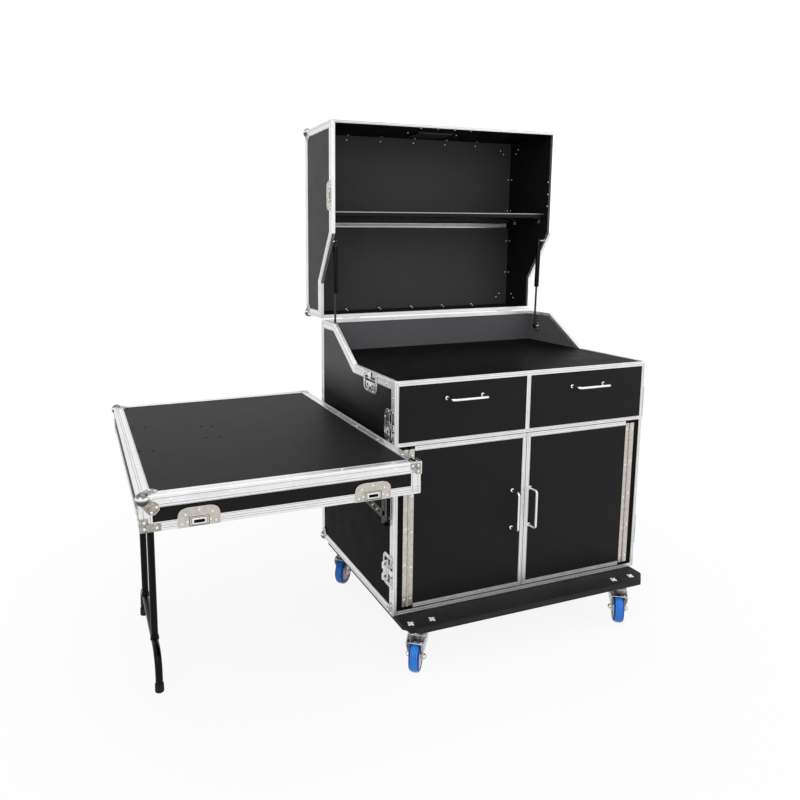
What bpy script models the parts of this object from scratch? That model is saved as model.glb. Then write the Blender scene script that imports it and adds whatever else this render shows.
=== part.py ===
"""A mobile coffee bar built as a flight case: a cabinet with two drawers and two doors on a castor board,
a lid that swings up into a hutch on gas struts, and a front cover that hangs beside it as a side table.

Metres, +Z up, floor at Z = 0. While the pieces are made, X = 0 is the cabinet's left face and Y = 0 its
front face. The last step moves the whole object so that its box is centred over the origin.
"""

import math

import bmesh
import bpy
from mathutils import Matrix, Vector

# Driving dimensions of the cabinet
CASE_WIDTH = 0.960
CASE_DEPTH = 0.630
CASE_HEIGHT = 0.750
SPLASH_RISE = 0.120
SPLASH_FLAT = 0.135
SLOPE_RUN = 0.185
PANEL = 0.009
WORKTOP_THICKNESS = 0.015
DECK_THICKNESS = 0.012
DECK_HEIGHT = 0.5465
DIVIDER_THICKNESS = 0.012

# Driving dimensions of the aluminium edging
EDGE_WALL = 0.0015
EDGE_ROUND = 0.0022
SIDE_LEG = 0.028
SIDE_FRONT_LEG = 0.024
FRONT_LEG = 0.0135
FRONT_BOTTOM_LEG = 0.015
DIVIDER_STRIP = 0.015
FRONT_CAP = 0.004
RIM_LIP = 0.012

# Clearances
FIT = 0.0003
LID_SEAT = 0.001
DOOR_GAP = 0.0025
DRAWER_GAP = 0.002

# Lid, drawn closed over the cabinet and swung open
LID_HEIGHT = 0.170
LID_OPEN = math.radians(90)
LID_HINGE_OFFSET = 0.005
LID_HINGE_RADIUS = 0.0038
LID_HINGE_LENGTH = 0.070
LID_HINGE_INSET = 0.128
LID_HINGE_LEAF = 0.040
SHELF_THICKNESS = 0.018
SHELF_FROM_HINGE = 0.388
SHELF_SETBACK = 0.040
LIGHT_BAR_HEIGHT = 0.021
LIGHT_BAR_DEPTH = 0.014
LIGHT_BAR_DROP = 0.015
LIGHT_BAR_END = 0.010

# Front cover, which is also the side table
COVER_DEPTH = 0.090
TABLE_HEIGHT = 0.7145
TABLE_GAP = 0.018
TABLE_OVERHANG = 0.199
COVER_LEG = 0.030
COVER_RIM_LEG = 0.024

# Castor board and castors
BOARD_THICKNESS = 0.018
BOARD_CHAMFER = 0.050
CASTOR_HEIGHT = 0.128
WHEEL_RADIUS = 0.050
WHEEL_WIDTH = 0.034
WHEEL_BORE = 0.0046
CASTOR_TRAIL = 0.041
CASTOR_PLATE = (0.100, 0.084, 0.003)
CASTOR_FRONT_Y = -0.037
CASTOR_REAR_Y = 0.540
CASTOR_LEFT_INSET = 0.072
CASTOR_RIGHT_INSET = 0.102
RACE_RADIUS = 0.029
RACE_HEIGHT = 0.0065
FORK_PLATE = 0.0035
FORK_SIDE_GAP = 0.0025

# Doors and drawers
DOOR_TRIM = 0.014
HINGE_INSET = 0.051
HINGE_LEAF = 0.018
HINGE_LEAF_THICKNESS = 0.0012
HINGE_KNUCKLE = 0.0028
HINGE_KNUCKLES = 11
HINGE_END = 0.008
PULL_LENGTH = 0.128
PULL_REACH = 0.036
PULL_RADIUS = 0.004
PULL_BEND = 0.010
DOOR_PULL_INSET = 0.048
DOOR_PULL_HEIGHT = 0.2915
DRAWER_PULL_DROP = 0.064
DRAWER_BOX_DEPTH = 0.520
DRAWER_BOX_HEIGHT = 0.140
DRAWER_TRAVEL = 0.420
RUNNER_SPACE = 0.0127
RUNNER_SHORTER = 0.020
RUNNER_HEIGHT = 0.045
RUNNER_WALL = 0.0012

# Latches
LATCH_WIDTH = 0.106
LATCH_DEPTH = 0.068
LATCH_PLATE = 0.0015
LATCH_ROUND = 0.026
PAN_WIDTH = 0.078
PAN_LENGTH = 0.044
PAN_DEPTH = 0.0075
PAN_START = 0.014
PAN_WALL = 0.0012
UPPER_LATCH_DROP = 0.144
LOWER_LATCH_RISE = 0.141
COUNTER_LATCH_Y = 0.175
KEEPER_DEPTH = 0.050

# Gas struts
STRUT_X = 0.030
STRUT_BASE_INSET = 0.067
STRUT_BASE_DROP = 0.0593
STRUT_TOP_INSET = 0.079
STRUT_TOP_RISE = 0.2957
STRUT_RADIUS = 0.009
STRUT_ROD_RADIUS = 0.004
STRUT_TUBE = 0.190
STRUT_EYE = 0.008

# Folding leg of the table
LEG_X = 0.059
LEG_Y = 0.325
LEG_RADIUS = 0.011
LEG_SPREAD = 0.135
LEG_FOOT_SPREAD = 0.222
LEG_CROSSBAR = 0.112
LEG_BEND = 0.056
LEG_PIVOT_DROP = 0.0495
LEG_PIN_RADIUS = 0.008
LEG_BLOCK = 0.012

# Swing brackets that carry the table
BRACKET_REACH = 0.210
BRACKET_DROP = 0.185
BRACKET_BAR = 0.022
BRACKET_THICKNESS = 0.003
BRACKET_PIN_X = 0.0085
BRACKET_PIN_RADIUS = 0.003
BRACKET_SLEEVE = 0.0055
SWING_LUG = 0.006
BRACKET_FRONT_Y = 0.037
BRACKET_REAR_INSET = 0.042

# Values that follow from the ones above
BOARD_TOP = CASTOR_HEIGHT + BOARD_THICKNESS
BASE_Z = BOARD_TOP + FIT
RIM_Z = BASE_Z + CASE_HEIGHT
TOP_Z = RIM_Z + SPLASH_RISE
SKIN = EDGE_WALL + FIT
RIM_WIDTH = 2 * EDGE_WALL + 2 * FIT + PANEL
INNER = SKIN + PANEL
BACK_Y = CASE_DEPTH - INNER
FLOOR_TOP = BASE_Z + SKIN + PANEL
DECK_LOW = BASE_Z + DECK_HEIGHT
DECK_TOP = DECK_LOW + DECK_THICKNESS
WORKTOP_TOP = RIM_Z - FIT
WORKTOP_LOW = WORKTOP_TOP - WORKTOP_THICKNESS
MIDDLE_X = CASE_WIDTH / 2
LID_AXIS = Vector((0, CASE_DEPTH + LID_HINGE_OFFSET, TOP_Z))
STRUT_BASE = (CASE_DEPTH - STRUT_BASE_INSET, TOP_Z - STRUT_BASE_DROP)
STRUT_TOP = (LID_AXIS.y - STRUT_TOP_INSET, LID_AXIS.z + STRUT_TOP_RISE)
RUNNER_LENGTH = DRAWER_BOX_DEPTH - RUNNER_SHORTER
TABLE_RIGHT = -TABLE_GAP
TABLE_LEFT = TABLE_RIGHT - CASE_HEIGHT
TABLE_NEAR = -TABLE_OVERHANG
TABLE_FAR = TABLE_NEAR + CASE_WIDTH
TABLE_RIM = TABLE_HEIGHT - COVER_DEPTH
RUNNER_Z = DECK_TOP + DRAWER_GAP + 0.005 + DRAWER_BOX_HEIGHT / 2

X, Y, Z = Vector((1, 0, 0)), Vector((0, 1, 0)), Vector((0, 0, 1))


# Materials
def material(name, colour, roughness, metallic=0.0):
    made = bpy.data.materials.new(name)
    made.use_nodes = True
    shader = made.node_tree.nodes["Principled BSDF"]
    shader.inputs["Base Color"].default_value = (*colour, 1)
    shader.inputs["Roughness"].default_value = roughness
    shader.inputs["Metallic"].default_value = metallic
    return made


def clear_scene():
    for item in list(bpy.data.objects):
        bpy.data.objects.remove(item, do_unlink=True)


# Shapes, each one closed mesh
def mesh_of(bm, name="shape"):
    bmesh.ops.recalc_face_normals(bm, faces=bm.faces[:])
    mesh = bpy.data.meshes.new(name)
    bm.to_mesh(mesh)
    bm.free()
    return mesh


def prism(outline, axis, low, high):
    """The outline extruded from low to high along axis: (y, z) along X, (x, z) along Y, (x, y) along Z."""
    bm = bmesh.new()
    places = {
        "X": lambda p, along: (along, p[0], p[1]),
        "Y": lambda p, along: (p[0], along, p[1]),
        "Z": lambda p, along: (p[0], p[1], along),
    }[axis]
    lower = [bm.verts.new(places(point, low)) for point in outline]
    upper = [bm.verts.new(places(point, high)) for point in outline]
    bm.faces.new(lower)
    bm.faces.new(upper[::-1])
    count = len(outline)
    for i in range(count):
        after = (i + 1) % count
        bm.faces.new((lower[i], lower[after], upper[after], upper[i]))
    return mesh_of(bm)


def box(low, high):
    outline = [(low[0], low[1]), (high[0], low[1]), (high[0], high[1]), (low[0], high[1])]
    return prism(outline, "Z", low[2], high[2])


def arc(centre, radius, start, end, steps):
    """Points on an arc from start to end, in degrees."""
    found = []
    for i in range(steps + 1):
        angle = math.radians(start + (end - start) * i / steps)
        found.append((centre[0] + radius * math.cos(angle), centre[1] + radius * math.sin(angle)))
    return found


def cylinder(centre, radius, axis, low, high, sides=12, turn=0.0):
    """A cylinder along axis; centre is given in the two directions across it."""
    outline = arc(centre, radius, turn, turn + 360, sides)[:-1]
    return prism(outline, axis, low, high)


def rounded(mesh, width, segments=2):
    """The mesh with every sharp edge bevelled."""
    bm = bmesh.new()
    bm.from_mesh(mesh)
    edges = [edge for edge in bm.edges if edge.calc_face_angle(0) > math.radians(20)]
    bmesh.ops.bevel(bm, geom=edges, offset=width, segments=segments, profile=0.5, affect="EDGES")
    return mesh_of(bm)


def turned(profile, steps, start=0.0):
    """The (radius, height) profile, a closed loop, turned about Z."""
    bm = bmesh.new()
    rings = []
    for i in range(steps):
        angle = math.radians(start) + math.tau * i / steps
        ring = [bm.verts.new((r * math.cos(angle), r * math.sin(angle), h)) for r, h in profile]
        rings.append(ring)
    count = len(profile)
    for i in range(steps):
        here, there = rings[i], rings[(i + 1) % steps]
        for j in range(count):
            after = (j + 1) % count
            bm.faces.new((here[j], here[after], there[after], there[j]))
    return mesh_of(bm)


def ball(centre, radius):
    bm = bmesh.new()
    bmesh.ops.create_uvsphere(bm, u_segments=12, v_segments=8, radius=radius)
    bmesh.ops.translate(bm, verts=bm.verts[:], vec=centre)
    return mesh_of(bm)


def rounded_path(corners, radius, steps=4):
    """The corners joined by straight runs, with an arc of the radius at each inner corner."""
    points = [Vector(corners[0])]
    for before, here, after in zip(corners, corners[1:], corners[2:]):
        here = Vector(here)
        back = (Vector(before) - here).normalized()
        on = (Vector(after) - here).normalized()
        half = back.angle(on) / 2
        reach = radius / math.tan(half)
        middle = here + (back + on).normalized() * radius / math.sin(half)
        start = (here + back * reach - middle).normalized()
        end = (here + on * reach - middle).normalized()
        sweep = start.angle(end)
        side = (end - start * start.dot(end)).normalized()
        for i in range(steps + 1):
            angle = sweep * i / steps
            points.append(middle + (start * math.cos(angle) + side * math.sin(angle)) * radius)
    points.append(Vector(corners[-1]))
    return points


def tube(points, radius, resolution=2):
    """A round bar along the points, with filled ends."""
    curve = bpy.data.curves.new("bar", "CURVE")
    curve.dimensions = "3D"
    curve.bevel_depth = radius
    curve.bevel_resolution = resolution
    curve.use_fill_caps = True
    spline = curve.splines.new("POLY")
    spline.points.add(len(points) - 1)
    for target, point in zip(spline.points, points):
        target.co = (*point, 1)
    carrier = bpy.data.objects.new("bar", curve)
    bpy.context.scene.collection.objects.link(carrier)
    graph = bpy.context.evaluated_depsgraph_get()
    swept = bpy.data.meshes.new_from_object(carrier.evaluated_get(graph))
    bpy.data.objects.remove(carrier, do_unlink=True)
    bm = bmesh.new()
    bm.from_mesh(swept)
    bmesh.ops.remove_doubles(bm, verts=bm.verts[:], dist=0.00001)
    return mesh_of(bm)


def moved(mesh, matrix):
    """A copy of the mesh, moved by the matrix."""
    copy = mesh.copy()
    copy.transform(matrix)
    return copy


def joined(meshes):
    """Shapes that don't touch each other, in one mesh."""
    bm = bmesh.new()
    for mesh in meshes:
        bm.from_mesh(mesh)
    return mesh_of(bm)


def fused(shapes, cutters=()):
    """The union of the shapes, less the cutters, as one closed mesh."""
    carrier = bpy.data.objects.new("shape", shapes[0].copy())
    helpers = [carrier]
    for operation, meshes in (("UNION", shapes[1:]), ("DIFFERENCE", cutters)):
        for mesh in meshes:
            helper = bpy.data.objects.new("helper", mesh)
            helpers.append(helper)
            step = carrier.modifiers.new(operation, "BOOLEAN")
            step.operation = operation
            step.solver = "EXACT"
            step.object = helper
    for helper in helpers:
        bpy.context.scene.collection.objects.link(helper)
    graph = bpy.context.evaluated_depsgraph_get()
    made = bpy.data.meshes.new_from_object(carrier.evaluated_get(graph))
    for helper in helpers:
        bpy.data.objects.remove(helper, do_unlink=True)
    bm = bmesh.new()
    bm.from_mesh(made)
    bmesh.ops.dissolve_limit(bm, angle_limit=math.radians(0.5), verts=bm.verts[:], edges=bm.edges[:])
    bmesh.ops.triangulate(bm, faces=bm.faces[:])
    bmesh.ops.recalc_face_normals(bm, faces=bm.faces[:])
    bm.to_mesh(made)
    bm.free()
    return made


# Outlines
def inset(outline, distances):
    """The outline, anticlockwise, with side i, from point i to the next, moved inwards by distances[i]."""
    lines = []
    count = len(outline)
    for i in range(count):
        start, end = Vector(outline[i]), Vector(outline[(i + 1) % count])
        along = (end - start).normalized()
        inwards = Vector((-along.y, along.x))
        lines.append((start + inwards * distances[i], along))
    found = []
    for i in range(count):
        (p, u), (q, v) = lines[i - 1], lines[i]
        cross = u.x * v.y - u.y * v.x
        t = ((q.x - p.x) * v.y - (q.y - p.y) * v.x) / cross
        found.append((p.x + u.x * t, p.y + u.y * t))
    return found


def case_outline():
    """The cabinet's side, as (y, z): bottom, rear, splash top, slope, counter, front."""
    return [
        (0, BASE_Z),
        (CASE_DEPTH, BASE_Z),
        (CASE_DEPTH, TOP_Z),
        (CASE_DEPTH - SPLASH_FLAT, TOP_Z),
        (CASE_DEPTH - SPLASH_FLAT - SLOPE_RUN, RIM_Z),
        (0, RIM_Z),
    ]


def lid_outline():
    """The closed lid's side, as (y, z): front rim, slope rim, rear rim, rear, top, front."""
    slope_foot = CASE_DEPTH - SPLASH_FLAT - SLOPE_RUN
    return [
        (-COVER_DEPTH, RIM_Z + LID_SEAT),
        (slope_foot, RIM_Z + LID_SEAT),
        (CASE_DEPTH - SPLASH_FLAT, TOP_Z + LID_SEAT),
        (CASE_DEPTH, TOP_Z + LID_SEAT),
        (CASE_DEPTH, TOP_Z + LID_HEIGHT),
        (-COVER_DEPTH, TOP_Z + LID_HEIGHT),
    ]


def edge_shell(outline, windows):
    """A skin of the edging's thickness round a closed form, less the windows that leave its legs."""
    outer = rounded(prism(outline, "X", 0, CASE_WIDTH), EDGE_ROUND)
    inner = prism(inset(outline, [EDGE_WALL] * len(outline)), "X", EDGE_WALL, CASE_WIDTH - EDGE_WALL)
    return [outer], [inner, *windows]


# Joints and pieces
def joint_at(name, place, parent=None, turn=None):
    """An empty on a joint's axis, which its pieces hang on."""
    empty = bpy.data.objects.new(name, None)
    empty.empty_display_size = 0.03
    bpy.context.scene.collection.objects.link(empty)
    if parent:
        bpy.context.view_layer.update()
        empty.parent = parent
        empty.matrix_parent_inverse = parent.matrix_world.inverted()
    empty.location = place
    if turn:
        empty.rotation_mode = "QUATERNION"
        empty.rotation_quaternion = turn
    return empty


def piece(name, mesh, look, body, smooth=30):
    """The mesh as a named object on the body's joint; the mesh is given in the cabinet's coordinates."""
    mesh.transform(Matrix.Translation(-Vector(body.location)))
    mesh.name = name
    mesh.materials.clear()
    mesh.materials.append(look)
    mesh.shade_smooth()
    mesh.set_sharp_from_angle(angle=math.radians(smooth))
    made = bpy.data.objects.new(name, mesh)
    bpy.context.scene.collection.objects.link(made)
    made.parent = body
    return made


def frame_matrix(origin, across, away, out):
    """The matrix that puts local X, Y and Z on across, away and out, at the origin."""
    turn = Matrix((across, away, out)).transposed().to_4x4()
    return Matrix.Translation(origin) @ turn


# Latches
def latch_outline(width, depth, radius):
    """A plate with a straight edge on the seam and two round corners away from it."""
    half = width / 2
    right = arc((half - radius, depth - radius), radius, 0, 90, 4)
    left = arc((radius - half, depth - radius), radius, 90, 180, 4)
    return [(-half, FIT), (half, FIT), *right, *left]


def pan_box(grow, low, high):
    half = PAN_WIDTH / 2 + grow
    return box((-half, PAN_START - grow, low), (half, PAN_START + PAN_LENGTH + grow, high))


def latch_dish_mesh():
    """The fixed part of a latch: plate, recessed pan, hub and the hook that reaches over the seam."""
    plate = prism(latch_outline(LATCH_WIDTH, LATCH_DEPTH, LATCH_ROUND), "Z", FIT, FIT + LATCH_PLATE)
    pan = pan_box(0, -PAN_DEPTH, LATCH_PLATE)
    hollow = pan_box(-PAN_WALL, PAN_WALL - PAN_DEPTH, 0.01)
    hub_y = PAN_START + 0.010
    hub = cylinder((0, hub_y), 0.0075, "Z", -PAN_DEPTH + 0.0004, FIT + 0.0016)
    hook = box((-0.010, -0.012, FIT + LATCH_PLATE + 0.0009), (0.010, hub_y, FIT + LATCH_PLATE + 0.0029))
    post = cylinder((0, hub_y - 0.002), 0.006, "Z", FIT, FIT + LATCH_PLATE + 0.0015)
    lip = box((-0.010, -0.012, FIT + LATCH_PLATE + 0.0002), (0.010, -0.0095, FIT + LATCH_PLATE + 0.002))
    lug_x = PAN_WIDTH / 2 - PAN_WALL - 0.0035
    lugs = []
    for x0, x1 in ((lug_x, lug_x + 0.004), (-lug_x - 0.004, -lug_x)):
        lugs.append(box((x0, WING_AXIS - 0.003, 0.0008 - PAN_DEPTH), (x1, WING_AXIS + 0.003, LATCH_PLATE)))
    dish = fused([plate, pan], [hollow])
    return fused([dish, joined(lugs), hub, post, hook, lip])


def wing_mesh():
    """A half-round turning wing with two holes, hinged along local X at its straight edge."""
    half = PAN_WIDTH / 2 - PAN_WALL - 0.004
    depth = PAN_START + PAN_LENGTH - PAN_WALL - WING_AXIS - 0.001
    radius = 0.014
    right = arc((half - radius, depth - radius), radius, 0, 90, 3)
    left = arc((radius - half, depth - radius), radius, 90, 180, 3)
    plate = prism([(-half, 0), (half, 0), *right, *left], "Z", -0.001, 0.001)
    barrel = moved(cylinder((0, 0), 0.0018, "X", -half + 0.004, half - 0.004, 8), Matrix())
    holes = [cylinder((x, depth * 0.5), 0.0035, "Z", -0.01, 0.01, 8) for x in (-0.016, 0.016)]
    return fused([plate, barrel], holes)


WING_AXIS = PAN_START + 0.0205


def latch_places():
    """Each latch's name, the middle of its seam and its directions along, away from the seam and out."""
    lower = BASE_Z + LOWER_LATCH_RISE
    upper = RIM_Z - UPPER_LATCH_DROP
    found = []
    for side, x, out in (("left", 0, -X), ("right", CASE_WIDTH, X)):
        found.append(("upper_" + side, Vector((x, 0, upper)), Y, out))
        found.append(("lower_" + side, Vector((x, 0, lower)), Y, out))
        found.append(("counter_" + side, Vector((x, COUNTER_LATCH_Y, RIM_Z)), -Z, out))
    return [(name, frame_matrix(at, away.cross(out), away, out), away, out) for name, at, away, out in found]


def latch_cutters():
    """Cut-outs for the latch pans in the side panels and the edging."""
    return joined([moved(pan_box(FIT * 2, -0.02, 0.02), place) for _, place, _, _ in latch_places()])


def keeper_mesh(place):
    """The plate that a latch's hook catches, on the other side of the seam."""
    flip = Matrix.Diagonal((-1, -1, 1, 1))
    outline = latch_outline(LATCH_WIDTH, KEEPER_DEPTH, LATCH_ROUND)
    plate = prism(outline, "Z", -0.0008, LATCH_PLATE)
    slot = box((-0.015, 0.0075, LATCH_PLATE - 0.0008), (0.015, 0.020, 0.01))
    return moved(plate, place @ flip), moved(slot, place @ flip)


def add_latches(root, looks):
    dish, wing = latch_dish_mesh(), wing_mesh()
    for name, place, away, out in latch_places():
        seat = place @ Matrix.Translation((0, 0, 0))
        piece("latch_dish_" + name, moved(dish, seat), looks["zinc"], root)
        axis_at = place @ Vector((0, WING_AXIS, FIT + 0.0002))
        body = joint_at("latch_wing_axis_" + name, axis_at, root)
        stands = Matrix.Rotation(math.radians(90), 4, "X") if name == "lower_left" else Matrix()
        turned_place = place @ Matrix.Translation((0, WING_AXIS, FIT + 0.0002)) @ stands
        piece("latch_wing_" + name, moved(wing, turned_place), looks["zinc"], body)


# Ball corners and flat corner brackets
def corner_plates(corner, signs, points):
    """Three plates of one outline round a corner; signs point from the corner into the box."""
    found = []
    outside, sunk = EDGE_WALL, 0.0006
    for axis in range(3):
        others = [i for i in range(3) if i != axis]
        a, b = others
        outline = [(corner[a] + signs[a] * u, corner[b] + signs[b] * v) for u, v in points]
        ends = sorted((corner[axis] - signs[axis] * outside, corner[axis] + signs[axis] * sunk))
        found.append(prism(outline, "XYZ"[axis], *ends))
    return found


def bracket_outline(reach, waist):
    """A flat corner bracket's outline, its two arms joined by a slope."""
    low = -EDGE_WALL
    return [(low, low), (reach, low), (reach, waist), (waist, reach), (low, reach)]


def tongue_outline(root, reach, inner, outer):
    """A ball corner's plate: a root along both edges and a blunt tongue that runs out between them."""
    low = -EDGE_WALL
    return [(low, low), (root, low), (reach, inner), (reach, outer), (outer, reach), (inner, reach), (low, root)]


def ball_corner(corner, signs):
    at, inwards = Vector(corner), Vector(signs)
    near, far = at + inwards * (EDGE_WALL - 0.0002), at + inwards * 0.06
    inside = box([min(pair) for pair in zip(near, far)], [max(pair) for pair in zip(near, far)])
    cap = fused([ball(at + inwards * BALL_SINK, BALL_RADIUS)], [inside])
    return [*corner_plates(corner, signs, tongue_outline(0.020, 0.047, 0.022, 0.036)), cap]


BALL_RADIUS = 0.0175
BALL_SINK = 0.0085


# Castor board and castors
def castor_places():
    """Each castor's name, its swivel axis and how far its fork is turned, in degrees."""
    left, right = CASTOR_LEFT_INSET, CASE_WIDTH - CASTOR_RIGHT_INSET
    return [
        ("front_left", left, CASTOR_FRONT_Y, 52),
        ("front_right", right, CASTOR_FRONT_Y, 52),
        ("rear_left", left, CASTOR_REAR_Y, 44),
        ("rear_right", right, CASTOR_REAR_Y, 58),
    ]


def castor_board_mesh():
    """The board with its front corners cut off, the castors' top plates, races and visible bolts."""
    outline = [
        (0, -COVER_DEPTH + BOARD_CHAMFER),
        (BOARD_CHAMFER, -COVER_DEPTH),
        (CASE_WIDTH - BOARD_CHAMFER, -COVER_DEPTH),
        (CASE_WIDTH, -COVER_DEPTH + BOARD_CHAMFER),
        (CASE_WIDTH, CASE_DEPTH),
        (0, CASE_DEPTH),
    ]
    board = rounded(prism(outline, "Z", CASTOR_HEIGHT, BOARD_TOP), 0.0025)
    plates, races, bolts = [], [], []
    width, depth, thickness = CASTOR_PLATE
    plate_low = CASTOR_HEIGHT - thickness
    for _, x, y, _ in castor_places():
        low = (x - width / 2, y - depth / 2, plate_low)
        high = (x + width / 2, y + depth / 2, CASTOR_HEIGHT + 0.0008)
        plates.append(box(low, high))
        races.append(cylinder((x, y), RACE_RADIUS, "Z", plate_low - RACE_HEIGHT, plate_low + 0.001, 16))
        if y < 0:
            for bolt_x in (x - width / 2 + 0.012, x + width / 2 - 0.012):
                place = (bolt_x, y - depth / 2 + 0.015)
                bolts.append(cylinder(place, 0.0075, "Z", BOARD_TOP - 0.002, BOARD_TOP + 0.0035, 8))
    return fused([board, joined(plates), joined(races), joined(bolts)])


def fork_mesh():
    """A castor's fork about its swivel axis: crown, two tapered sides, axle with a nut at each end."""
    crown_top = CASTOR_HEIGHT - CASTOR_PLATE[2] - RACE_HEIGHT - FIT
    crown_low = crown_top - 0.006
    inside = WHEEL_WIDTH / 2 + FORK_SIDE_GAP
    outside = inside + FORK_PLATE
    crown = cylinder((0, 0), RACE_RADIUS, "Z", crown_low, crown_top, 16)
    bridge = box((-0.036, -outside, crown_low - FORK_PLATE + 0.001), (0.026, outside, crown_low + 0.001))
    axle = (-CASTOR_TRAIL, WHEEL_RADIUS)
    outline = [(0.026, crown_low + 0.0008), (-0.040, crown_low + 0.0008)]
    outline += arc(axle, 0.013, 165, 335, 6)
    sides = [prism(outline, "Y", inside, outside), prism(outline, "Y", -outside, -inside)]
    pin = cylinder(axle, WHEEL_BORE - FIT * 2, "Y", -outside - 0.004, outside + 0.004, 10)
    nuts = []
    for low, high in ((outside - 0.0005, outside + 0.006), (-outside - 0.006, 0.0005 - outside)):
        nuts.append(cylinder(axle, 0.008, "Y", low, high, 6))
    return fused([crown, bridge, joined(sides), pin, joined(nuts)])


def wheel_mesh():
    """A wheel about its own axle, along Y: hub, dished web and a crowned tyre."""
    half = WHEEL_WIDTH / 2
    outer = [
        (WHEEL_BORE, half),
        (0.014, half),
        (0.016, half - 0.005),
        (0.032, half - 0.005),
        (0.036, half - 0.001),
        (WHEEL_RADIUS - 0.006, half - 0.001),
        (WHEEL_RADIUS - 0.0012, half - 0.007),
        (WHEEL_RADIUS, 0.004),
    ]
    profile = outer + [(r, -h) for r, h in reversed(outer)]
    about_z = turned(profile, 24)
    return moved(about_z, Matrix.Rotation(math.radians(90), 4, "X"))


def add_castors(root, looks):
    piece("castor_board", castor_board_mesh(), looks["black_board"], root)
    fork, wheel = fork_mesh(), wheel_mesh()
    for name, x, y, degrees in castor_places():
        swivel = joint_at("castor_swivel_axis_" + name, (x, y, 0), root)
        turn = Matrix.Rotation(math.radians(degrees), 4, "Z")
        place = Matrix.Translation((x, y, 0)) @ turn
        piece("castor_fork_" + name, moved(fork, place), looks["zinc"], swivel)
        hub = place @ Vector((-CASTOR_TRAIL, 0, WHEEL_RADIUS))
        roll = joint_at("castor_wheel_axis_" + name, hub, swivel)
        rolled = Matrix.Translation(hub) @ turn
        piece("castor_wheel_" + name, moved(wheel, rolled), looks["blue_wheel"], roll)


# Cabinet
def case_edging_mesh():
    """The cabinet's aluminium angles: every edge, the front strips and the capped rims."""
    outline = case_outline()
    through, out = CASE_WIDTH + 0.02, 0.02
    side_legs = [SIDE_LEG, SIDE_LEG, SIDE_LEG, SIDE_LEG, SIDE_LEG, SIDE_FRONT_LEG]
    side_window = prism(inset(outline, side_legs), "X", -out, through)
    strip_left = MIDDLE_X - DIVIDER_STRIP / 2
    strip_right = MIDDLE_X + DIVIDER_STRIP / 2
    far_leg = CASE_WIDTH - FRONT_LEG
    wide_far = CASE_WIDTH - SIDE_LEG
    wall = EDGE_WALL + 0.001
    windows = [
        side_window,
        box((FRONT_LEG, -out, BASE_Z + FRONT_BOTTOM_LEG), (far_leg, wall, DECK_LOW)),
        box((FRONT_LEG, -out, DECK_TOP), (strip_left, wall, WORKTOP_LOW)),
        box((strip_right, -out, DECK_TOP), (far_leg, wall, WORKTOP_LOW)),
        box((SIDE_LEG, CASE_DEPTH - wall, BASE_Z + SIDE_LEG), (wide_far, CASE_DEPTH + out, TOP_Z - SIDE_LEG)),
        box((SIDE_LEG, SIDE_LEG, BASE_Z - out), (wide_far, CASE_DEPTH - SIDE_LEG, BASE_Z + wall)),
        box((RIM_WIDTH, FRONT_CAP, RIM_Z - 0.004), (CASE_WIDTH - RIM_WIDTH, CASE_DEPTH - RIM_WIDTH, TOP_Z + out)),
    ]
    shapes, cutters = edge_shell(outline, windows)
    frame = fused(shapes, cutters)
    return fused([frame, *case_rim_lips(), lid_hinge_leaves(base=True)], [latch_cutters()])


def rim_band(outline, sides, ends):
    """The outline of a lip that hangs under the given sides and stops short of the sides in ends."""
    skin, stop = EDGE_WALL / 2, RIM_WIDTH - EDGE_WALL / 2
    count = len(outline)
    upper = inset(outline, [stop if i in ends else skin for i in range(count)])
    lower = inset(outline, [RIM_LIP if i in sides else stop if i in ends else skin for i in range(count)])
    chain = [*sides, (sides[-1] + 1) % count]
    return [upper[i] for i in chain] + [lower[i] for i in reversed(chain)]


def case_rim_lips():
    """The inner legs of the capped rims, along the slopes, the splash sides and the splash back."""
    band = rim_band(case_outline(), [2, 3], [1])
    found = []
    for x in (RIM_WIDTH - EDGE_WALL, CASE_WIDTH - RIM_WIDTH):
        found.append(prism(band, "X", x, x + EDGE_WALL))
    back = CASE_DEPTH - RIM_WIDTH
    low = (RIM_WIDTH - EDGE_WALL / 2, back, TOP_Z - RIM_LIP)
    high = (CASE_WIDTH - RIM_WIDTH + EDGE_WALL / 2, back + EDGE_WALL, TOP_Z - EDGE_WALL / 2)
    return [joined(found), box(low, high)]


def lid_hinge_leaves(base):
    """Both lid hinges' leaves and knuckles on the cabinet's back, or on the closed lid's back."""
    found = []
    centre = (LID_AXIS.y, LID_AXIS.z)
    third = LID_HINGE_LENGTH / 3
    for middle in (LID_HINGE_INSET, CASE_WIDTH - LID_HINGE_INSET):
        left = middle - LID_HINGE_LENGTH / 2
        spans = [(0, 1), (2, 3)] if base else [(1, 2)]
        if base:
            edge, far = TOP_Z - 0.0045, TOP_Z - LID_HINGE_LEAF
        else:
            edge, far = TOP_Z + 0.0045, TOP_Z + LID_HINGE_LEAF
        low, high = sorted((edge, far))
        shapes = [box((left, CASE_DEPTH - 0.0006, low), (left + LID_HINGE_LENGTH, CASE_DEPTH + 0.002, high))]
        for start, end in spans:
            x0 = left + start * third + (FIT if start else 0)
            x1 = left + end * third - (FIT if end < 3 else 0)
            shapes.append(cylinder(centre, LID_HINGE_RADIUS, "X", x0, x1, 10))
            near = (TOP_Z - 0.008, TOP_Z) if base else (TOP_Z, TOP_Z + 0.008)
            shapes.append(box((x0, CASE_DEPTH + 0.0012, near[0]), (x1, LID_AXIS.y + 0.001, near[1])))
        found.append(fused(shapes))
    return joined(found)


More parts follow.
